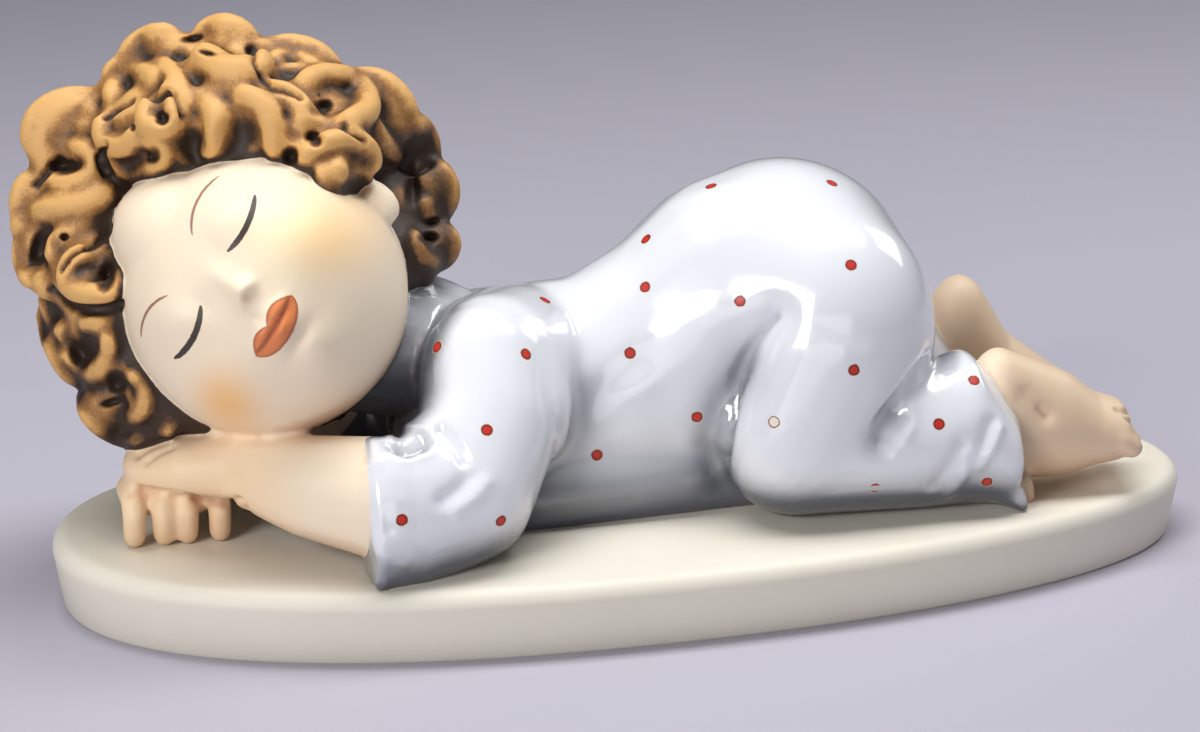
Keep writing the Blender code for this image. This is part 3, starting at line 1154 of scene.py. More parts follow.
class Pressing:
    """Work on a skin: each stroke moves points along the way out that they had at the start."""

    drill_reach: float = 6.0

    def __init__(self, skin: bpy.types.Mesh) -> None:
        """Takes up the skin."""
        self.skin = skin
        self.points = rows_of(skin, "co")
        self.normals = rows_of(skin, "normal")
        self.start = self.points.copy()

    def press(self, path: np.ndarray, width: float, depth: float) -> None:
        """Presses one stroke into the skin along its own way out.

        Args:
            path: The stroke's places, as rows.
            width: How wide it spreads.
            depth: How deep it goes. Below nought it is drawn up instead.
        """
        low, high = path.min(0) - 3 * width, path.max(0) + 3 * width
        near = ((self.start > low) & (self.start < high)).all(1)
        share = distance_to_path(self.start[near], path) / width
        weight = np.exp(-(share**2))
        self.points[near] -= self.normals[near] * (depth * weight)[:, None]

    def drill(self, place: np.ndarray, hole: Hole) -> None:
        """Drills a hole along the photograph's view.

        Args:
            place: Its middle on the skin.
            hole: Its radii and depth.
        """
        back, right, up = (np.array(axis) for axis in VIEW.axes())
        turn = math.radians(hole.turn)
        off = self.start - place
        across, over = off @ right, off @ up
        wide, tall = (radius / PIXELS_PER_UNIT for radius in hole.radii)
        first = (across * math.cos(turn) - over * math.sin(turn)) / wide
        second = (across * math.sin(turn) + over * math.cos(turn)) / tall
        near = np.abs(off @ back) < self.drill_reach
        weight = np.where(near, np.exp(-((first**2 + second**2) ** 1.5)), 0.0)
        self.points -= (hole.depth * weight)[:, None] * back

    def finish(self) -> None:
        """Gives the skin its moved points."""
        move_points(self.skin, self.points)


FACE_DABS = (
    Dab((1.0, -0.2), (1.9, 1.7), 2.2),
    Dab((1.0, 3.0), (1.7, 3.2), 0.7),
    Dab((-0.9, -0.9), (1.1, 1.0), 0.6),
    Dab((2.8, -0.7), (1.1, 1.0), 0.6),
    Dab((9.9, 8.6), (4.6, 4.0), 1.5),
    Dab((-9.7, 7.0), (4.4, 4.0), 1.5),
    Dab((4.2, 5.8), (2.0, 3.0), -0.4),
    Dab((-4.4, 4.6), (1.8, 2.6), -0.35),
    Dab((10.0, 13.8), (6.0, 2.4), 0.5),
    Dab((-10.5, 12.0), (6.0, 2.4), 0.5),
    Dab((14.0, -4.5), (7.0, 7.0), 1.5),
    Dab((-13.0, -6.0), (6.5, 6.5), 1.3),
    Dab((-1.3, -8.0), (5.4, 4.0), 1.4),
    Dab((-3.9, -6.7), (2.2, 1.15), 0.9),
    Dab((1.2, -6.6), (2.2, 1.1), 0.9),
    Dab((-1.4, -9.2), (2.9, 1.35), 1.1),
    Dab((-1.5, -7.75), (4.0, 0.42), -0.75),
    Dab((-1.5, -4.0), (0.8, 1.5), -0.3),
    Dab((-1.2, -11.9), (3.2, 1.2), -0.8),
    Dab((-1.0, -15.2), (4.5, 3.6), 1.7),
    Dab((23.6, -7.6), (1.3, 2.4), -1.2),
)

STROKES = (
    # The crease between belly and thigh, broad and then fine
    Stroke(
        ((774, 315), (750, 345), (732, 387), (724, 429), (719, 462),
        (722, 488)), 3.2, 1.2, both_sides=True
    ),
    Stroke(((772, 318), (750, 346), (733, 387), (725, 429), (720, 462)), 1.1, 1.3, both_sides=True),
    # The pit behind the knee, its tail and the drawn-up cloth beside it
    Stroke(((884, 438), (888, 426), (896, 412)), 2.6, 2.6, both_sides=True),
    Stroke(((904, 394), (914, 378), (926, 364)), 2.0, 1.2, both_sides=True),
    Stroke(((912, 408), (912, 424), (904, 440), (894, 450)), 1.1, -0.6, both_sides=True),
    # The cloth drawn tight over the belly
    Stroke(((575, 420), (600, 394), (640, 362)), 3.4, 0.6),
    Stroke(((640, 392), (672, 350), (712, 305)), 4.0, -0.4),
    Stroke(((590, 448), (622, 420), (655, 400)), 3.6, 0.3),
    # The trouser hem's pleats
    Stroke(((999, 429), (993, 446), (982, 464)), 1.1, -0.6, both_sides=True),
    Stroke(((990, 424), (984, 440), (972, 458)), 1.3, 0.6, both_sides=True),
    Stroke(((975, 452), (964, 472), (950, 493)), 1.4, -0.6, both_sides=True),
    Stroke(((962, 446), (952, 464), (938, 482)), 1.6, 0.6, both_sides=True),
    # The sleeve's dimple with its lip, and the cuff's pleats
    Stroke(((404, 447), (411, 444), (418, 442)), 2.2, 2.4, both_sides=True),
    Stroke(
        ((390, 440), (400, 430), (418, 428), (434, 434), (436, 446), (424, 456), (406, 459),
        (392, 454)), 0.9, -0.5, both_sides=True
    ),
    Stroke(((440, 430), (450, 440), (458, 450), (464, 460)), 1.3, 1.1, both_sides=True),
    Stroke(((485, 484), (476, 496), (457, 510)), 1.4, -0.6, both_sides=True),
    Stroke(((470, 476), (460, 488), (444, 500)), 1.6, 0.8, both_sides=True),
    Stroke(((369, 470), (371, 500), (374, 540)), 1.2, -0.4, both_sides=True),
    Stroke(((378, 553), (390, 558), (402, 564)), 1.2, -0.4),
    Stroke(((378, 474), (382, 500), (388, 530)), 1.4, 0.5, both_sides=True),
    # The ankle's dimples and the toes' grooves
    Stroke(((1027, 396), (1036, 404), (1046, 415)), 2.0, 0.7),
    Stroke(((1042, 410), (1047, 416)), 1.0, 0.5),
    Stroke(((1128, 418), (1136, 424), (1143, 428)), 0.7, 0.8),
    Stroke(((1118, 410), (1126, 412), (1134, 412)), 0.7, 0.7),
    # The hand's edge, its tendons and the thumb's root
    Stroke(((130, 493), (150, 490), (185, 494), (215, 500), (241, 503)), 1.0, 0.8),
    Stroke(((139, 455), (150, 446), (165, 440)), 0.8, 0.7),
    Stroke(((146, 462), (158, 453), (172, 447)), 0.8, 0.6),
    Stroke(((240, 502), (246, 512), (252, 520)), 1.0, 0.8),
)

# Where painted shade darkens the garment along its creases and the belly's foot: pixels of the
# line, its width and its strength
SHADINGS = (
    (((745, 372), (722, 408), (710, 440), (704, 474)), 4.6, 0.8),
    (((548, 506), (600, 498), (655, 492), (702, 482)), 7.0, 0.9),
    (((592, 392), (577, 434), (560, 474), (545, 500)), 4.0, 0.5),
    (((745, 508), (775, 518), (830, 518), (900, 512)), 2.6, 0.5),
)


@dataclass
class SleepingChild:
    """The whole child as one finely carved skin."""

    part_voxel: float = 0.6
    voxel: float = 0.42
    triangles: int = 152_000
    underside: float = -0.5
    face_front: float = 4.0
    face_shell: tuple[float, float] = (-3.0, 4.5)
    stroke_step: float = 5.0
    valley_step: float = 4.0
    valley_width: float = 0.8
    valley_depth: float = 1.2
    shading_step: float = 6.0
    refinings: tuple[float, ...] = (5.5, 4.0, 2.8)
    coarse_edge: float = 0.9
    crease_steps: int = 6
    recess_steps: int = 40
    air_ways: int = 30
    air_reach: float = 42.0
    pyjamas: Pyjamas = field(default_factory=Pyjamas)
    flesh: Flesh = field(default_factory=Flesh)
    hair: Hair = field(default_factory=Hair)

    def build(self) -> bpy.types.Object:
        """Models the child, carves it and melts it into one skin.

        Returns:
            The finished piece.
        """
        parts = {
            Region.CLOTH: self.pyjamas.build(self.part_voxel),
            Region.FLESH: self.flesh.build(self.part_voxel),
            Region.HAIR: self.hair.build(self.part_voxel),
        }
        clay = Clay()
        for part in parts.values():
            clay.add(part, Matrix.Identity(4))
        clay.cut_flat(self.underside)
        skin = clay.fused("child_sculpt", self.voxel, 1)
        finder = Finder(skin)
        self.model_face(skin)
        self.draw_strokes(skin, finder)
        self.drill_hair(skin, finder)
        skin = self.thinned(skin)
        spots = self.spot_places(skin, parts[Region.CLOTH])
        self.refine_round(skin, spots)
        self.mark_regions(skin, parts)
        self.mark_shadings(skin, finder)
        self.mark_spots(skin, spots)
        for part in parts.values():
            bpy.data.meshes.remove(part)
        skin.transform(FIGURE.to_world())
        skin.shade_smooth()
        return linked("child_sculpt", skin)

    def model_face(self, skin: bpy.types.Mesh) -> None:
        """Swells and presses the face's forms.

        Args:
            skin: The dense skin.
        """
        points = rows_of(skin, "co")
        own = (points - np.array(SKULL.place)) @ np.array(SKULL.axes())
        above = np.linalg.norm(own, axis=1) - SKULL.radius
        lowest, highest = self.face_shell
        face = (own[:, 2] > self.face_front) & (above > lowest) & (above < highest)
        raised = np.zeros(len(points))
        for dab in FACE_DABS:
            across = (own[face, 0] - dab.at[0]) / dab.radii[0]
            up = (own[face, 1] - dab.at[1]) / dab.radii[1]
            raised[face] += dab.height * np.exp(-(across**2) - up**2)
        move_points(skin, points + raised[:, None] * np.array(SKULL.axes().col[2]))

    def draw_strokes(self, skin: bpy.types.Mesh, finder: Finder) -> None:
        """Presses the garment's folds, also on the far side where they have a twin there.

        Args:
            skin: The dense skin.
            finder: Finds their places.
        """
        work = Pressing(skin)
        for stroke in STROKES:
            path = finder.path(curve_through(stroke.path, self.stroke_step))
            for line in (path, self.beside(path)) if stroke.both_sides else (path,):
                work.press(line, stroke.width, stroke.depth)
        work.finish()

    def beside(self, path: np.ndarray) -> np.ndarray:
        """Returns a path's twin on the child's other side."""
        twin = path.copy()
        twin[:, 1] = 2 * self.pyjamas.middle - twin[:, 1]
        return twin

    def drill_hair(self, skin: bpy.types.Mesh, finder: Finder) -> None:
        """Drills the curls' holes and deepens the valleys between them.

        Args:
            skin: The dense skin.
            finder: Finds their places.
        """
        work = Pressing(skin)
        for hole in HOLES:
            work.drill(np.array(finder.at(hole.at)[0]), hole)
        for valley in VALLEYS:
            path = finder.path(curve_through(valley, self.valley_step))
            work.press(path, self.valley_width, self.valley_depth)
        work.finish()

    def thinned(self, skin: bpy.types.Mesh) -> bpy.types.Mesh:
        """Thins the skin to its number of triangles.

        Args:
            skin: The skin, which is used up.

        Returns:
            The thinner skin.
        """
        skin.calc_loop_triangles()
        share = self.triangles / len(skin.loop_triangles)

        def prepare(holder: bpy.types.Object) -> None:
            """Adds the thinning."""
            thin = holder.modifiers.new("Thin", "DECIMATE")
            thin.ratio = share

        return with_modifiers(skin, prepare)

    def mark_regions(self, skin: bpy.types.Mesh, parts: dict[Region, bpy.types.Mesh]) -> None:
        """Stores how far inside the cloth and the hair each vertex lies, and how sunk it is.

        Args:
            skin: The whole skin.
            parts: The skins it was melted from.
        """
        points = rows_of(skin, "co")
        outside = {region: depth_outside(points, part) for region, part in parts.items()}
        for region in (Region.CLOTH, Region.HAIR):
            others = [depth for other, depth in outside.items() if other is not region]
            store(skin, region.value, np.minimum(*others) - outside[region])
        normals = rows_of(skin, "normal")
        for name, steps in (("crease", self.crease_steps), ("recess", self.recess_steps)):
            smooth = smoothed_field(skin, points, steps)
            store(skin, name, ((smooth - points) * normals).sum(1))
        air = openness(skin, self.air_ways, self.air_reach)
        store(skin, "air", smoothed_field(skin, air[:, None], self.crease_steps)[:, 0])

    def mark_shadings(self, skin: bpy.types.Mesh, finder: Finder) -> None:
        """Stores how strongly each vertex is darkened with painted shade along the shading lines,
        on both sides alike.

        Args:
            skin: The whole skin.
            finder: Finds the shadings' places.
        """
        points = rows_of(skin, "co")
        shaded = np.zeros(len(points))
        for pixels, width, strength in SHADINGS:
            line = finder.path(curve_through(pixels, self.shading_step))
            for path in (line, self.beside(line)):
                gap = distance_to_path(points, path) / width
                shaded = np.maximum(shaded, strength * np.exp(-(gap**2)))
        store(skin, "shaded", shaded)

    def spot_places(self, skin: bpy.types.Mesh, cloth: bpy.types.Mesh) -> np.ndarray:
        """Places the painted spots on the skin.

        Args:
            skin: The whole skin.
            cloth: The garment's own skin.

        Returns:
            The spots' middles, as rows.
        """
        points = rows_of(skin, "co")
        return np.array(SPOTS.places(Finder(skin), points, -depth_outside(points, cloth)))

    def refine_round(self, skin: bpy.types.Mesh, spots: np.ndarray) -> None:
        """Divides the skin's larger faces round each spot, so that the spot's outline stays round.

        Args:
            skin: The whole skin.
            spots: The spots' middles.
        """
        tree = tree_of_points(spots)
        bm = bmesh.new()
        bm.from_mesh(skin)
        for reach in self.refinings:
            near = {vertex for vertex in bm.verts if tree.find(vertex.co)[2] < reach}
            inner = [edge for edge in bm.edges if near.issuperset(edge.verts)]
            coarse = [edge for edge in inner if edge.calc_length() > self.coarse_edge]
            if coarse:
                bmesh.ops.subdivide_edges(bm, edges=coarse, cuts=1)
                bmesh.ops.triangulate(bm, faces=[face for face in bm.faces if len(face.verts) > 3])
        bm.to_mesh(skin)
        bm.free()

    def mark_spots(self, skin: bpy.types.Mesh, spots: np.ndarray) -> None:
        """Stores for each vertex how it lies to the nearest painted spot.

        Args:
            skin: The whole skin.
            spots: The spots' middles.
        """
        points = rows_of(skin, "co")
        tree = tree_of_points(spots)
        nearest = np.array([tree.find(point)[1] for point in points])
        offset = points - spots[nearest]
        near = (np.linalg.norm(offset, axis=1) < SPOTS.reach).astype(float)
        store(skin, "spot_near", near)
        store(skin, "spot_open", nearest == SPOTS.seen.index(SPOTS.hollow))
        skin.attributes.new("spot_offset", "FLOAT_VECTOR", "POINT")
        skin.attributes["spot_offset"].data.foreach_set("vector", offset.astype(np.float32).ravel())


@dataclass(frozen=True)
class Spots:
    """The pyjamas' painted spots: as the photograph shows them, and strewn on the hidden sides."""

    seen: tuple[Pixel, ...] = (
        (711, 186), (832, 183), (646, 205), (646, 239), (645, 287), (740, 301), (851, 265),
        (547, 277), (545, 300), (437, 347), (526, 354), (630, 353), (487, 430), (597, 455),
        (697, 417), (774, 422), (854, 370), (939, 424), (974, 380), (875, 488), (987, 482),
        (402, 520), (501, 521),
    )
    hollow: Pixel = (774, 422)
    spacing: float = 15.0
    reach: float = 3.0
    inside: float = -0.5
    seat_margin: float = 4.0
    seed: int = 11

    def places(self, finder: Finder, points: np.ndarray, cloth: np.ndarray) -> list[Vector]:
        """Finds every spot's middle.

        Args:
            finder: Finds places on the skin.
            points: The skin's points.
            cloth: How deep in the cloth each of them lies.

        Returns:
            The middles.
        """
        centres = [finder.at(pixel)[0] for pixel in self.seen]
        draw = random.Random(self.seed)
        order = list(range(len(points)))
        draw.shuffle(order)
        usable = (cloth > self.inside) & (points[:, 2] > self.seat_margin)
        for index in order:
            if not usable[index]:
                continue
            place = Vector(points[index])
            free = all((place - centre).length > self.spacing for centre in centres)
            if free and not finder.sees(place):
                centres.append(place)
        return centres


SPOTS = Spots()


# Shaders


class Wire:
    """A socket of a shader that takes part in sums: each operator adds a Math node."""

    def __init__(self, shader: "Shader", socket: bpy.types.NodeSocket) -> None:
        """Wraps the socket."""
        self.shader = shader
        self.socket = socket

    def _math(
        self, operation: str, *others: "Wire | float", first: "Wire | float | None" = None
    ) -> "Wire":
        """Adds a Math node.

        Args:
            operation: The node's operation.
            others: The values after this one.
            first: The value before this one, or nothing.

        Returns:
            The result.
        """
        values = ([] if first is None else [first]) + [self, *others]
        return self.shader.node("ShaderNodeMath", {"operation": operation}, dict(enumerate(values)))

    def __add__(self, other: "Wire | float") -> "Wire":
        """Adds."""
        return self._math("ADD", other)

    def __sub__(self, other: "Wire | float") -> "Wire":
        """Subtracts."""
        return self._math("SUBTRACT", other)

    def __rsub__(self, other: float) -> "Wire":
        """Subtracts from a number."""
        return self._math("SUBTRACT", first=other)

    def __mul__(self, other: "Wire | float") -> "Wire":
        """Multiplies."""
        return self._math("MULTIPLY", other)

    def __truediv__(self, other: "Wire | float") -> "Wire":
        """Divides."""
        return self._math("DIVIDE", other)

    def __pow__(self, other: float) -> "Wire":
        """Raises to a power."""
        return self._math("POWER", other)

    __radd__ = __add__
    __rmul__ = __mul__

    def least(self, other: "Wire | float") -> "Wire":
        """Returns the lesser of the two."""
        return self._math("MINIMUM", other)

    def most(self, other: "Wire | float") -> "Wire":
        """Returns the greater of the two."""
        return self._math("MAXIMUM", other)

    def size(self) -> "Wire":
        """Returns the value without its sign."""
        return self._math("ABSOLUTE")

    def distance(self, other: "Wire", middle: tuple[float, float]) -> "Wire":
        """Measures how far from a point of the plane this value and another lie.

        Args:
            other: The plane's second value.
            middle: The point.

        Returns:
            The distance.
        """
        first, second = self - middle[0], other - middle[1]
        return (first * first + second * second) ** 0.5

    def step(self, low: float, high: float) -> "Wire":
        """Rises smoothly from nought to one.

        Args:
            low: Where it starts to rise.
            high: Where it is one. Below low, it falls instead.

        Returns:
            The share.
        """
        if low > high:
            return 1 - self.step(high, low)
        settings = {"interpolation_type": "SMOOTHSTEP", "clamp": True}
        values = {0: self, 1: low, 2: high, 3: 0.0, 4: 1.0}
        return self.shader.node("ShaderNodeMapRange", settings, values)


class Shader:
    """A material's nodes, added one by one."""

    def __init__(self, name: str) -> None:
        """Starts a material with one surface shader.

        Args:
            name: The material's name.
        """
        self.material = bpy.data.materials.new(name)
        self.material.use_nodes = True
        self.tree = self.material.node_tree
        self.surface = self.tree.nodes["Principled BSDF"]

    def node(self, kind: str, settings: dict, values: dict, output: int | str = 0) -> Wire:
        """Adds a node.

        Args:
            kind: The node's type.
            settings: Its settings, which are set first.
            values: Numbers, colours or links for its inputs, by number or name.
            output: Which output is meant.

        Returns:
            The output.
        """
        made = self.tree.nodes.new(kind)
        for name, value in settings.items():
            setattr(made, name, value)
        for name, value in values.items():
            self.plug(value, made.inputs[name])
        return Wire(self, made.outputs[output])

    def plug(self, value: Wire | float | Sequence[float], socket: bpy.types.NodeSocket) -> None:
        """Links or sets a socket.

        Args:
            value: What it gets.
            socket: The socket.
        """
        if isinstance(value, Wire):
            self.tree.links.new(value.socket, socket)
        else:
            socket.default_value = value

    def coordinates(self) -> Wire:
        """Returns the object's own coordinates, in metres."""
        return self.node("ShaderNodeTexCoord", {}, {}, "Object")

    def attribute(self, name: str, output: str = "Fac") -> Wire:
        """Returns a value stored on the mesh."""
        return self.node("ShaderNodeAttribute", {"attribute_name": name}, {}, output)

    def noise(self, place: Wire, scale: float, detail: float = 2.0, roughness: float = 0.5) -> Wire:
        """Returns soft noise between nought and one."""
        values = {"Vector": place, "Scale": scale, "Detail": detail, "Roughness": roughness}
        return self.node("ShaderNodeTexNoise", {}, values, "Fac")

    def mixed(self, share: Wire | float, first: Wire | Colour, second: Wire | Colour) -> Wire:
        """Blends two colours.

        Args:
            share: How much of the second.
            first: One colour.
            second: The other.

        Returns:
            The blend.
        """
        first, second = ((*c, 1.0) if isinstance(c, tuple) else c for c in (first, second))
        settings = {"data_type": "RGBA", "clamp_factor": True}
        return self.node("ShaderNodeMix", settings, {0: share, 6: first, 7: second}, 2)

    def along(self, place: Wire, origin: Vector, way: Vector) -> Wire:
        """Measures how far a place lies along a way, in millimetres.

        Args:
            place: The place, in metres.
            origin: Where the measure starts, in metres.
            way: The way, of unit length.

        Returns:
            The distance.
        """
        scaled = way / MILLIMETRE
        settings = {"operation": "DOT_PRODUCT"}
        found = self.node("ShaderNodeVectorMath", settings, {0: place, 1: scaled}, "Value")
        return found - origin.dot(scaled)


def srgb(red: int, green: int, blue: int) -> Colour:
    """Turns a screen colour into the shader's linear values."""
    shares = (red / 255, green / 255, blue / 255)
    return tuple(((c + 0.055) / 1.055) ** 2.4 if c > 0.04045 else c / 12.92 for c in shares)


@dataclass(frozen=True)
class BrushArc:
    """A thin painted arc in the face's plane: its circle, middle, and half its length and width."""

    centre: tuple[float, float]
    radius: float
    middle: tuple[float, float]
    reach: float
    width: float


@dataclass(frozen=True)
class Blush:
    """A soft round patch of colour in the face's plane."""

    at: tuple[float, float]
    radius: float
    strength: float
    colour: Colour


@dataclass(frozen=True)
class FacePaint:
    """The painted face: lashes, brows, lips and blush, in millimetres in the face's own plane."""

    lash: Colour = srgb(44, 28, 24)
    brow: Colour = srgb(142, 78, 56)
    lip: Colour = srgb(224, 124, 62)
    lip_edge: Colour = srgb(158, 70, 42)
    lashes: tuple[BrushArc, ...] = (
        BrushArc((8.5, 15.2), 10.5, (10.1, 4.8), 5.2, 0.50),
        BrushArc((-9.6, 12.65), 9.45, (-9.7, 3.2), 5.4, 0.54),
    )
    brows: tuple[BrushArc, ...] = (
        BrushArc((10.9, 5.6), 9.2, (8.8, 14.55), 5.4, 0.27),
        BrushArc((-11.7, 4.6), 8.0, (-10.4, 12.5), 4.8, 0.26),
    )
    blushes: tuple[Blush, ...] = (
        Blush((13.0, -1.0), 14.0, 0.55, srgb(255, 238, 190)),
        Blush((-10.0, -3.0), 13.0, 0.40, srgb(255, 234, 200)),
        Blush((16.0, -7.0), 11.0, 0.70, srgb(255, 208, 140)),
        Blush((-17.0, -6.0), 9.0, 0.85, srgb(252, 194, 118)),
        Blush((0.3, -1.4), 1.2, 0.45, srgb(206, 150, 130)),
    )

    def arc(self, across: Wire, up: Wire, arc: BrushArc) -> Wire:
        """Draws a brush arc that thins towards its ends.

        Args:
            across: Way to the child's left in the face's plane.
            up: Way to its crown.
            arc: The arc.

        Returns:
            Its share, from nought to one.
        """
        out = across.distance(up, arc.centre) - arc.radius
        along = across.distance(up, arc.middle) / arc.reach
        square = along * along
        half = ((1 - square * square).most(0.0) ** 0.5) * arc.width
        return (half - out.size()).step(-0.05, 0.08) * along.size().step(1.0, 0.97)

    def lips(self, across: Wire, up: Wire) -> tuple[Wire, Wire]:
        """Draws the lips.

        Args:
            across: Way to the child's left in the face's plane.
            up: Way to its crown.

        Returns:
            The share of the lips, and of their darker edge and parting.
        """
        first = -5.45 - (across + 4.1) * (across + 4.1) * 0.18
        second = -5.2 - (across - 0.9) * (across - 0.9) * 0.16
        share = (across + 1.4) / 5.75
        floor = -7.05 - ((1 - share * share).most(0.0) ** 0.5) * 3.45
        margin = (first.most(second) - up).least(up - floor)
        parting = (up + 7.75 - (across + 1.2) * (across + 1.2) * 0.03).size()
        edge = margin.step(0.75, 0.15).most(parting.step(0.5, 0.12))
        return margin.step(-0.05, 0.2), edge

    def over(self, shader: Shader, colour: Wire, place: Wire, grain: Wire) -> Wire:
        """Paints the face over a colour.

        Args:
            shader: The shader.
            colour: The bare flesh.
            place: The object's own coordinates.
            grain: Fine noise that roughens the brush's edges.

        Returns:
            The painted flesh.
        """
        axes = SKULL.axes()
        middle = FIGURE.to_world() @ Vector(SKULL.place)
        across, up, out = (shader.along(place, middle, axes.col[index]) for index in (0, 1, 2))
        front = out.step(2.0, 5.0)
        across, up = across + (grain - 0.5) * 0.22, up + (grain - 0.5) * 0.22
        for blush in self.blushes:
            share = across.distance(up, blush.at).step(blush.radius, 0.0)
            colour = shader.mixed(share * front * blush.strength, colour, blush.colour)
        lips, edge = self.lips(across, up)
        lip = shader.mixed(edge * 0.75, self.lip, self.lip_edge)
        colour = shader.mixed(lips * front * 0.95, colour, lip)
        for arcs, tint, strength in ((self.brows, self.brow, 0.85), (self.lashes, self.lash, 0.97)):
            for arc in arcs:
                colour = shader.mixed(self.arc(across, up, arc) * front * strength, colour, tint)
        return colour


@dataclass(frozen=True)
class FigureFinish:
    """The child's finish: white glaze with red spots, painted flesh, washed ochre hair and painted
    shade.
    """

    glaze: Colour = srgb(236, 238, 244)
    # Partly glaze pooled in the creases, partly painted shade
    glaze_pool_and_shade: Colour = srgb(186, 194, 212)
    # Painted shade where the glaze lies shut in
    shade: Colour = srgb(78, 82, 94)
    # Painted shade along the creases and the belly's foot
    painted_crease_shade: Colour = srgb(104, 108, 120)
    # Partly a dark joint, partly a painted contact shadow
    dark_joint_and_contact_shade: Colour = srgb(84, 84, 92)
    flesh: Colour = srgb(250, 232, 205)
    hand: Colour = srgb(255, 214, 160)
    # Ruddy paint in the creases, and painted shade where the skin lies shut in
    flesh_crease_and_shade: Colour = srgb(216, 172, 140)
    foot: Colour = srgb(226, 200, 170)
    hair: Colour = srgb(222, 172, 104)
    hair_body: Colour = srgb(160, 112, 60)
    wash: Colour = srgb(40, 27, 20)
    spot: Colour = srgb(200, 46, 30)
    spot_rim: Colour = srgb(112, 22, 22)
    spot_halo: Colour = srgb(238, 206, 150)
    blend: tuple[float, float] = (-0.12, 0.12)
    face: FacePaint = FacePaint()

    def from_spot(self, shader: Shader, grain: Wire) -> Wire:
        """Measures how far off the nearest spot's middle is, in millimetres.

        Args:
            shader: The shader.
            grain: Fine noise, which makes the spots' edges uneven.

        Returns:
            The distance.
        """
        settings = {"operation": "LENGTH"}
        offset = shader.attribute("spot_offset", "Vector")
        length = shader.node("ShaderNodeVectorMath", settings, {0: offset}, "Value")
        return length + (grain - 0.5) * 0.3

    def glazed(self, shader: Shader, crease: Wire, air: Wire, height: Wire) -> Wire:
        """Colours the glaze with painted shade: darker in creases (partly pooled glaze), along the
        shading lines, where it lies shut in, and at its foot (partly a dark joint, partly a painted
        contact shadow).

        Args:
            shader: The shader.
            crease: How sunk the surface is.
            air: How open it lies.
            height: How far above the slab it is, in millimetres.

        Returns:
            The colour.
        """
        # Creases: partly pooled glaze, partly painted shade
        colour = shader.mixed(crease.step(0.0, 0.5) * 0.5, self.glaze, self.glaze_pool_and_shade)
        # Painted shade along the shading lines: the creases and the belly's foot
        colour = shader.mixed(shader.attribute("shaded") * 0.75, colour, self.painted_crease_shade)
        # Painted shade where the glaze lies shut in, measured by the openness
        colour = shader.mixed(air.step(0.86, 0.40) * 0.95, colour, self.shade)
        # Foot of the glaze: partly a dark joint on the slab, partly a painted contact shadow
        return shader.mixed(height.step(1.5, 0.2) * 0.8, colour, self.dark_joint_and_contact_shade)

    def spotted(self, shader: Shader, colour: Wire, away: Wire, near: Wire) -> Wire:
        """Paints the spots, each with a darker rim and a warm halo, and one of them as a ring.

        Args:
            shader: The shader.
            colour: The glaze.
            away: How far off the nearest spot's middle is, in millimetres.
            near: Whether there is a spot close by.

        Returns:
            The colour.
        """
        disc = away.step(1.06, 0.92) * near
        disc = disc * (1 - shader.attribute("spot_open") * away.step(0.86, 0.76))
        halo = away.step(1.40, 0.95) * near
        colour = shader.mixed(halo * 0.35, colour, self.spot_halo)
        paint = shader.mixed(away.step(0.60, 0.85), self.spot, self.spot_rim)
        return shader.mixed(disc, colour, paint)

    def fleshed(
        self, shader: Shader, crease: Wire, air: Wire, grain: Wire, place: Wire
    ) -> Wire:
        """Colours the bare skin: warmer at the hand and foot, ruddy in its creases, with painted
        shade where it lies shut in, and with the face.

        Args:
            shader: The shader.
            crease: How sunk the surface is.
            air: How open it lies.
            grain: Fine noise.
            place: The object's own coordinates.

        Returns:
            The colour.
        """
        along, up = shader.along(place, ORIGIN, X_WAY), shader.along(place, ORIGIN, Z_WAY)
        colour = shader.mixed(along.step(56.0, 66.0), self.flesh, self.foot)
        hand = along.step(-58.0, -72.0) * up.step(36.0, 28.0)
        colour = shader.mixed(hand * 0.55, colour, self.hand)
        sunk = (crease * 2.2 + (grain - 0.5) * 0.12).step(0.08, 0.75)
        colour = shader.mixed(sunk * 0.55, colour, self.flesh_crease_and_shade)
        # Painted shade where the skin lies shut in
        colour = shader.mixed(air.step(0.70, 0.30) * 0.55, colour, self.flesh_crease_and_shade)
        return self.face.over(shader, colour, place, grain)

    def haired(
        self, shader: Shader, recess: Wire, crease: Wire, air: Wire, place: Wire
    ) -> Wire:
        """Colours the hair: ochre on the curls' tops under a dark wash that pools between them.

        The wash is thicker along the flesh. On the nape's side and low down the hair is darker,
        partly as thicker wash and partly as painted shade, and where it lies shut in it gets
        painted shade.

        Args:
            shader: The shader.
            recess: How sunk the surface is among the curls.
            crease: How sunk it is in fine grooves.
            air: How open it lies.
            place: The object's own coordinates.

        Returns:
            The colour.
        """
        blotch = shader.noise(place, 300.0, 5.0, 0.65) - 0.5
        stipple = shader.noise(place, 2600.0, 2.0) - 0.5
        along, up = shader.along(place, ORIGIN, X_WAY), shader.along(place, ORIGIN, Z_WAY)
        edge = shader.attribute(Region.HAIR.value).step(2.8, 0.6)
        # Nape's side and low down: partly thicker wash, partly painted shade; the openness term is
        # painted shade
        nape = up.step(90.0, 72.0) * along.step(-56.0, -38.0)
        low = up.step(80.0, 50.0) * 0.55 + up.step(56.0, 26.0) * 0.75
        wash_and_shade = edge * 0.7 + nape * 1.3 + low + air.step(0.85, 0.40) * 0.9 - 0.02
        sunk = recess * 1.2 + crease * 2.8 + blotch * 1.4 + stipple * 0.8 + wash_and_shade
        colour = shader.mixed(sunk.step(-0.9, 0.2), self.hair, self.hair_body)
        return shader.mixed(sunk.step(-0.15, 1.35) * 0.96, colour, self.wash)

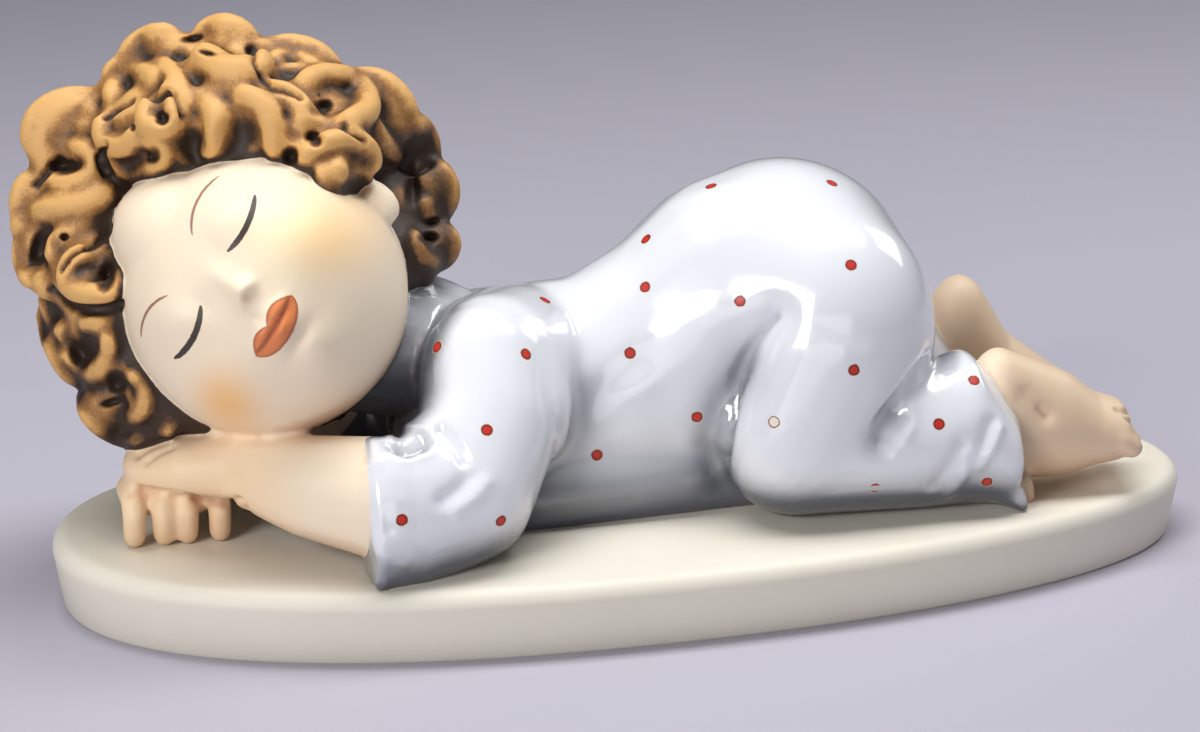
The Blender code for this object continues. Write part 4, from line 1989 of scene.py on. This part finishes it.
    def build(self) -> bpy.types.Material:
        """Makes the material.

        Returns:
            The finish.
        """
        shader = Shader("painted porcelain")
        place = shader.coordinates()
        grain = shader.noise(place, 1400.0, 3.0)
        crease, recess, air = (shader.attribute(name) for name in ("crease", "recess", "air"))
        cloth = shader.attribute(Region.CLOTH.value).step(*self.blend)
        hair = shader.attribute(Region.HAIR.value).step(*self.blend)
        height = shader.along(place, Vector((0, 0, FIGURE.seat)), Z_WAY)
        away = self.from_spot(shader, grain)
        near = shader.attribute("spot_near").step(0.6, 0.9)
        flesh = self.fleshed(shader, crease, air, grain, place)
        glaze = self.glazed(shader, crease, air, height)
        colour = shader.mixed(cloth, flesh, self.spotted(shader, glaze, away, near))
        colour = shader.mixed(hair, colour, self.haired(shader, recess, crease, air, place))
        surface = shader.surface.inputs
        shader.plug(colour, surface["Base Color"])
        enamel = away.step(1.06, 0.92) * near
        smoother = cloth * (0.34 - grain * 0.03 - enamel * 0.3)
        shader.plug(0.50 + hair * 0.08 - smoother, surface["Roughness"])
        shader.plug(cloth * (1 - enamel * 0.85), surface["Coat Weight"])
        surface["Coat Roughness"].default_value = 0.07
        tooth = shader.noise(place, 3200.0, 2.0) * (1 - cloth)
        tooth = tooth + shader.noise(place, 90.0, 2.0) * cloth * 2.5
        tooth = tooth + shader.noise(place, 700.0, 3.0) * hair * 5.0
        bump = {"Height": tooth, "Distance": 0.00005, "Strength": 0.5}
        shader.plug(shader.node("ShaderNodeBump", {}, bump), surface["Normal"])
        return shader.material


@dataclass
class OvalBase:
    """The thick oval slab with its soft rim."""

    length: float = (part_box("oval_base")[1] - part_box("oval_base")[0]).x
    width: float = 0.081
    height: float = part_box("oval_base")[1].z
    squareness: float = 2.2
    taper: float = 0.12
    rim_radius: float = 0.0030
    foot_inset: float = 0.0014
    sides: int = 144
    rim_steps: int = 8

    def outline(self, angle: float, inset: float) -> tuple[float, float]:
        """Gives a point of the rounded outline.

        Args:
            angle: How far round, in radians.
            inset: How far in from the widest outline.

        Returns:
            The point's x and y.
        """
        bend = 2 / self.squareness
        across, along = math.cos(angle), math.sin(angle)
        share = math.copysign(abs(across) ** bend, across)
        half = (self.width / 2 - inset) * (1 - self.taper * share)
        return share * (self.length / 2 - inset), math.copysign(abs(along) ** bend, along) * half

    def profile(self) -> list[tuple[float, float]]:
        """Gives the wall from the underside's middle up over the rim.

        Returns:
            How far in from the outline and how high each step is.
        """
        steps = [(self.foot_inset + 0.0006, 0.0), (self.foot_inset, 0.0006)]
        for step in range(self.rim_steps + 1):
            angle = math.pi / 2 * step / self.rim_steps
            inset = self.rim_radius * (1 - math.cos(angle))
            steps.append((inset, self.height - self.rim_radius * (1 - math.sin(angle))))
        return steps

    def build(self) -> bpy.types.Object:
        """Models the slab.

        Returns:
            The finished piece.
        """
        bm = bmesh.new()
        rings = []
        for inset, height in self.profile():
            ring = bmesh.ops.create_circle(bm, segments=self.sides, radius=1.0)["verts"]
            for step, corner in enumerate(ring):
                corner.co = Vector((*self.outline(math.tau * step / self.sides, inset), height))
            rings.append(list({edge for corner in ring for edge in corner.link_edges}))
        for lower, upper in zip(rings, rings[1:]):
            bmesh.ops.bridge_loops(bm, edges=lower + upper)
        for end in (rings[0], rings[-1]):
            bmesh.ops.contextual_create(bm, geom=end)
        bmesh.ops.recalc_face_normals(bm, faces=bm.faces)
        mesh = bpy.data.meshes.new("biscuit_slab")
        bm.to_mesh(mesh)
        bm.free()
        mesh.shade_smooth()
        mesh.set_sharp_from_angle(angle=math.radians(40))
        return linked("biscuit_slab", mesh)


@dataclass(frozen=True)
class BiscuitFinish:
    """Matt cream biscuit porcelain."""

    body: Colour = srgb(236, 230, 215)

    def build(self) -> bpy.types.Material:
        """Makes the material.

        Returns:
            The finish.
        """
        shader = Shader("biscuit porcelain")
        place = shader.coordinates()
        cloud = shader.noise(place, 60.0, 4.0)
        darker = tuple(0.93 * c for c in self.body)
        shader.plug(shader.mixed(cloud, darker, self.body), shader.surface.inputs["Base Color"])
        shader.plug(0.48 + cloud * 0.1, shader.surface.inputs["Roughness"])
        return shader.material


@dataclass(frozen=True)
class Softbox:
    """A lamp: where it hangs, what it points at, its width and height, and its power in watts."""

    name: str
    place: Point
    aim: Point
    size: tuple[float, float]
    power: float

    def hang(self) -> None:
        """Hangs it in the scene."""
        data = bpy.data.lights.new(self.name, "AREA")
        data.shape = "RECTANGLE"
        data.size, data.size_y = self.size
        data.energy = self.power
        lamp = bpy.data.objects.new(self.name, data)
        place = Vector(self.place)
        turned = (place - Vector(self.aim)).to_track_quat("Z", "Y").to_matrix().to_4x4()
        lamp.matrix_world = Matrix.Translation(place) @ turned
        bpy.context.scene.collection.objects.link(lamp)


@dataclass
class Studio:
    """The plain pale floor and the soft studio light."""

    floor_size: float = 6.0
    floor_colour: Colour = srgb(182, 179, 192)
    room_colour: Colour = (0.75, 0.77, 0.83)
    room_light: float = 0.07
    softboxes: tuple[Softbox, ...] = (
        Softbox("key", (-0.50, -0.45, 0.36), (-0.02, 0, 0.04), (0.24, 0.22), 2.2),
        Softbox("front", (-0.28, -0.92, 0.15), (-0.02, 0, 0.03), (0.90, 0.40), 1.55),
        Softbox("side", (0.55, 0.22, 0.42), (0.05, 0, 0.02), (0.30, 0.30), 0.9),
        Softbox("top", (0.02, 0.04, 0.62), (0.02, 0, 0.03), (0.70, 0.20), 4.0),
    )

    def floor(self) -> bpy.types.Object:
        """Lays the floor, which rises far behind into a backdrop.

        Returns:
            The floor.
        """
        bm = bmesh.new()
        bmesh.ops.create_grid(bm, x_segments=1, y_segments=1, size=self.floor_size / 2)
        far = [edge for edge in bm.edges if all(v.co.y > 0 for v in edge.verts)]
        grown = bmesh.ops.extrude_edge_only(bm, edges=far)["geom"]
        risen = [part for part in grown if isinstance(part, bmesh.types.BMVert)]
        bmesh.ops.translate(bm, verts=risen, vec=(0, 0.6, self.floor_size))
        mesh = bpy.data.meshes.new("floor")
        bm.to_mesh(mesh)
        bm.free()
        shader = Shader("floor")
        shader.surface.inputs["Base Color"].default_value = (*self.floor_colour, 1.0)
        shader.surface.inputs["Roughness"].default_value = 0.7
        mesh.materials.append(shader.material)
        return linked("floor", mesh)

    def light(self) -> None:
        """Hangs the softboxes and fills the room with faint light."""
        for softbox in self.softboxes:
            softbox.hang()
        world = bpy.data.worlds.new("room")
        world.use_nodes = True
        background = world.node_tree.nodes["Background"].inputs
        background["Color"].default_value = (*self.room_colour, 1.0)
        background["Strength"].default_value = self.room_light
        bpy.context.scene.world = world
        bpy.context.scene.view_settings.view_transform = "Standard"


def main() -> None:
    """Builds the pieces in order and hands them to the frame."""
    VIEW.make_camera()
    child = SleepingChild().build()
    child.data.materials.append(FigureFinish().build())
    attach(child, "root")
    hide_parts("sleeping_child")
    LOG.info("child_sculpt: %d faces", len(child.data.polygons))
    slab = OvalBase().build()
    slab.data.materials.append(BiscuitFinish().build())
    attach(slab, "root")
    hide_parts("oval_base")
    LOG.info("biscuit_slab: %d faces", len(slab.data.polygons))
    studio = Studio()
    studio.floor()
    studio.light()


if __name__ == "__main__":
    logging.basicConfig(level=logging.INFO, format="%(name)s: %(message)s")
    main()
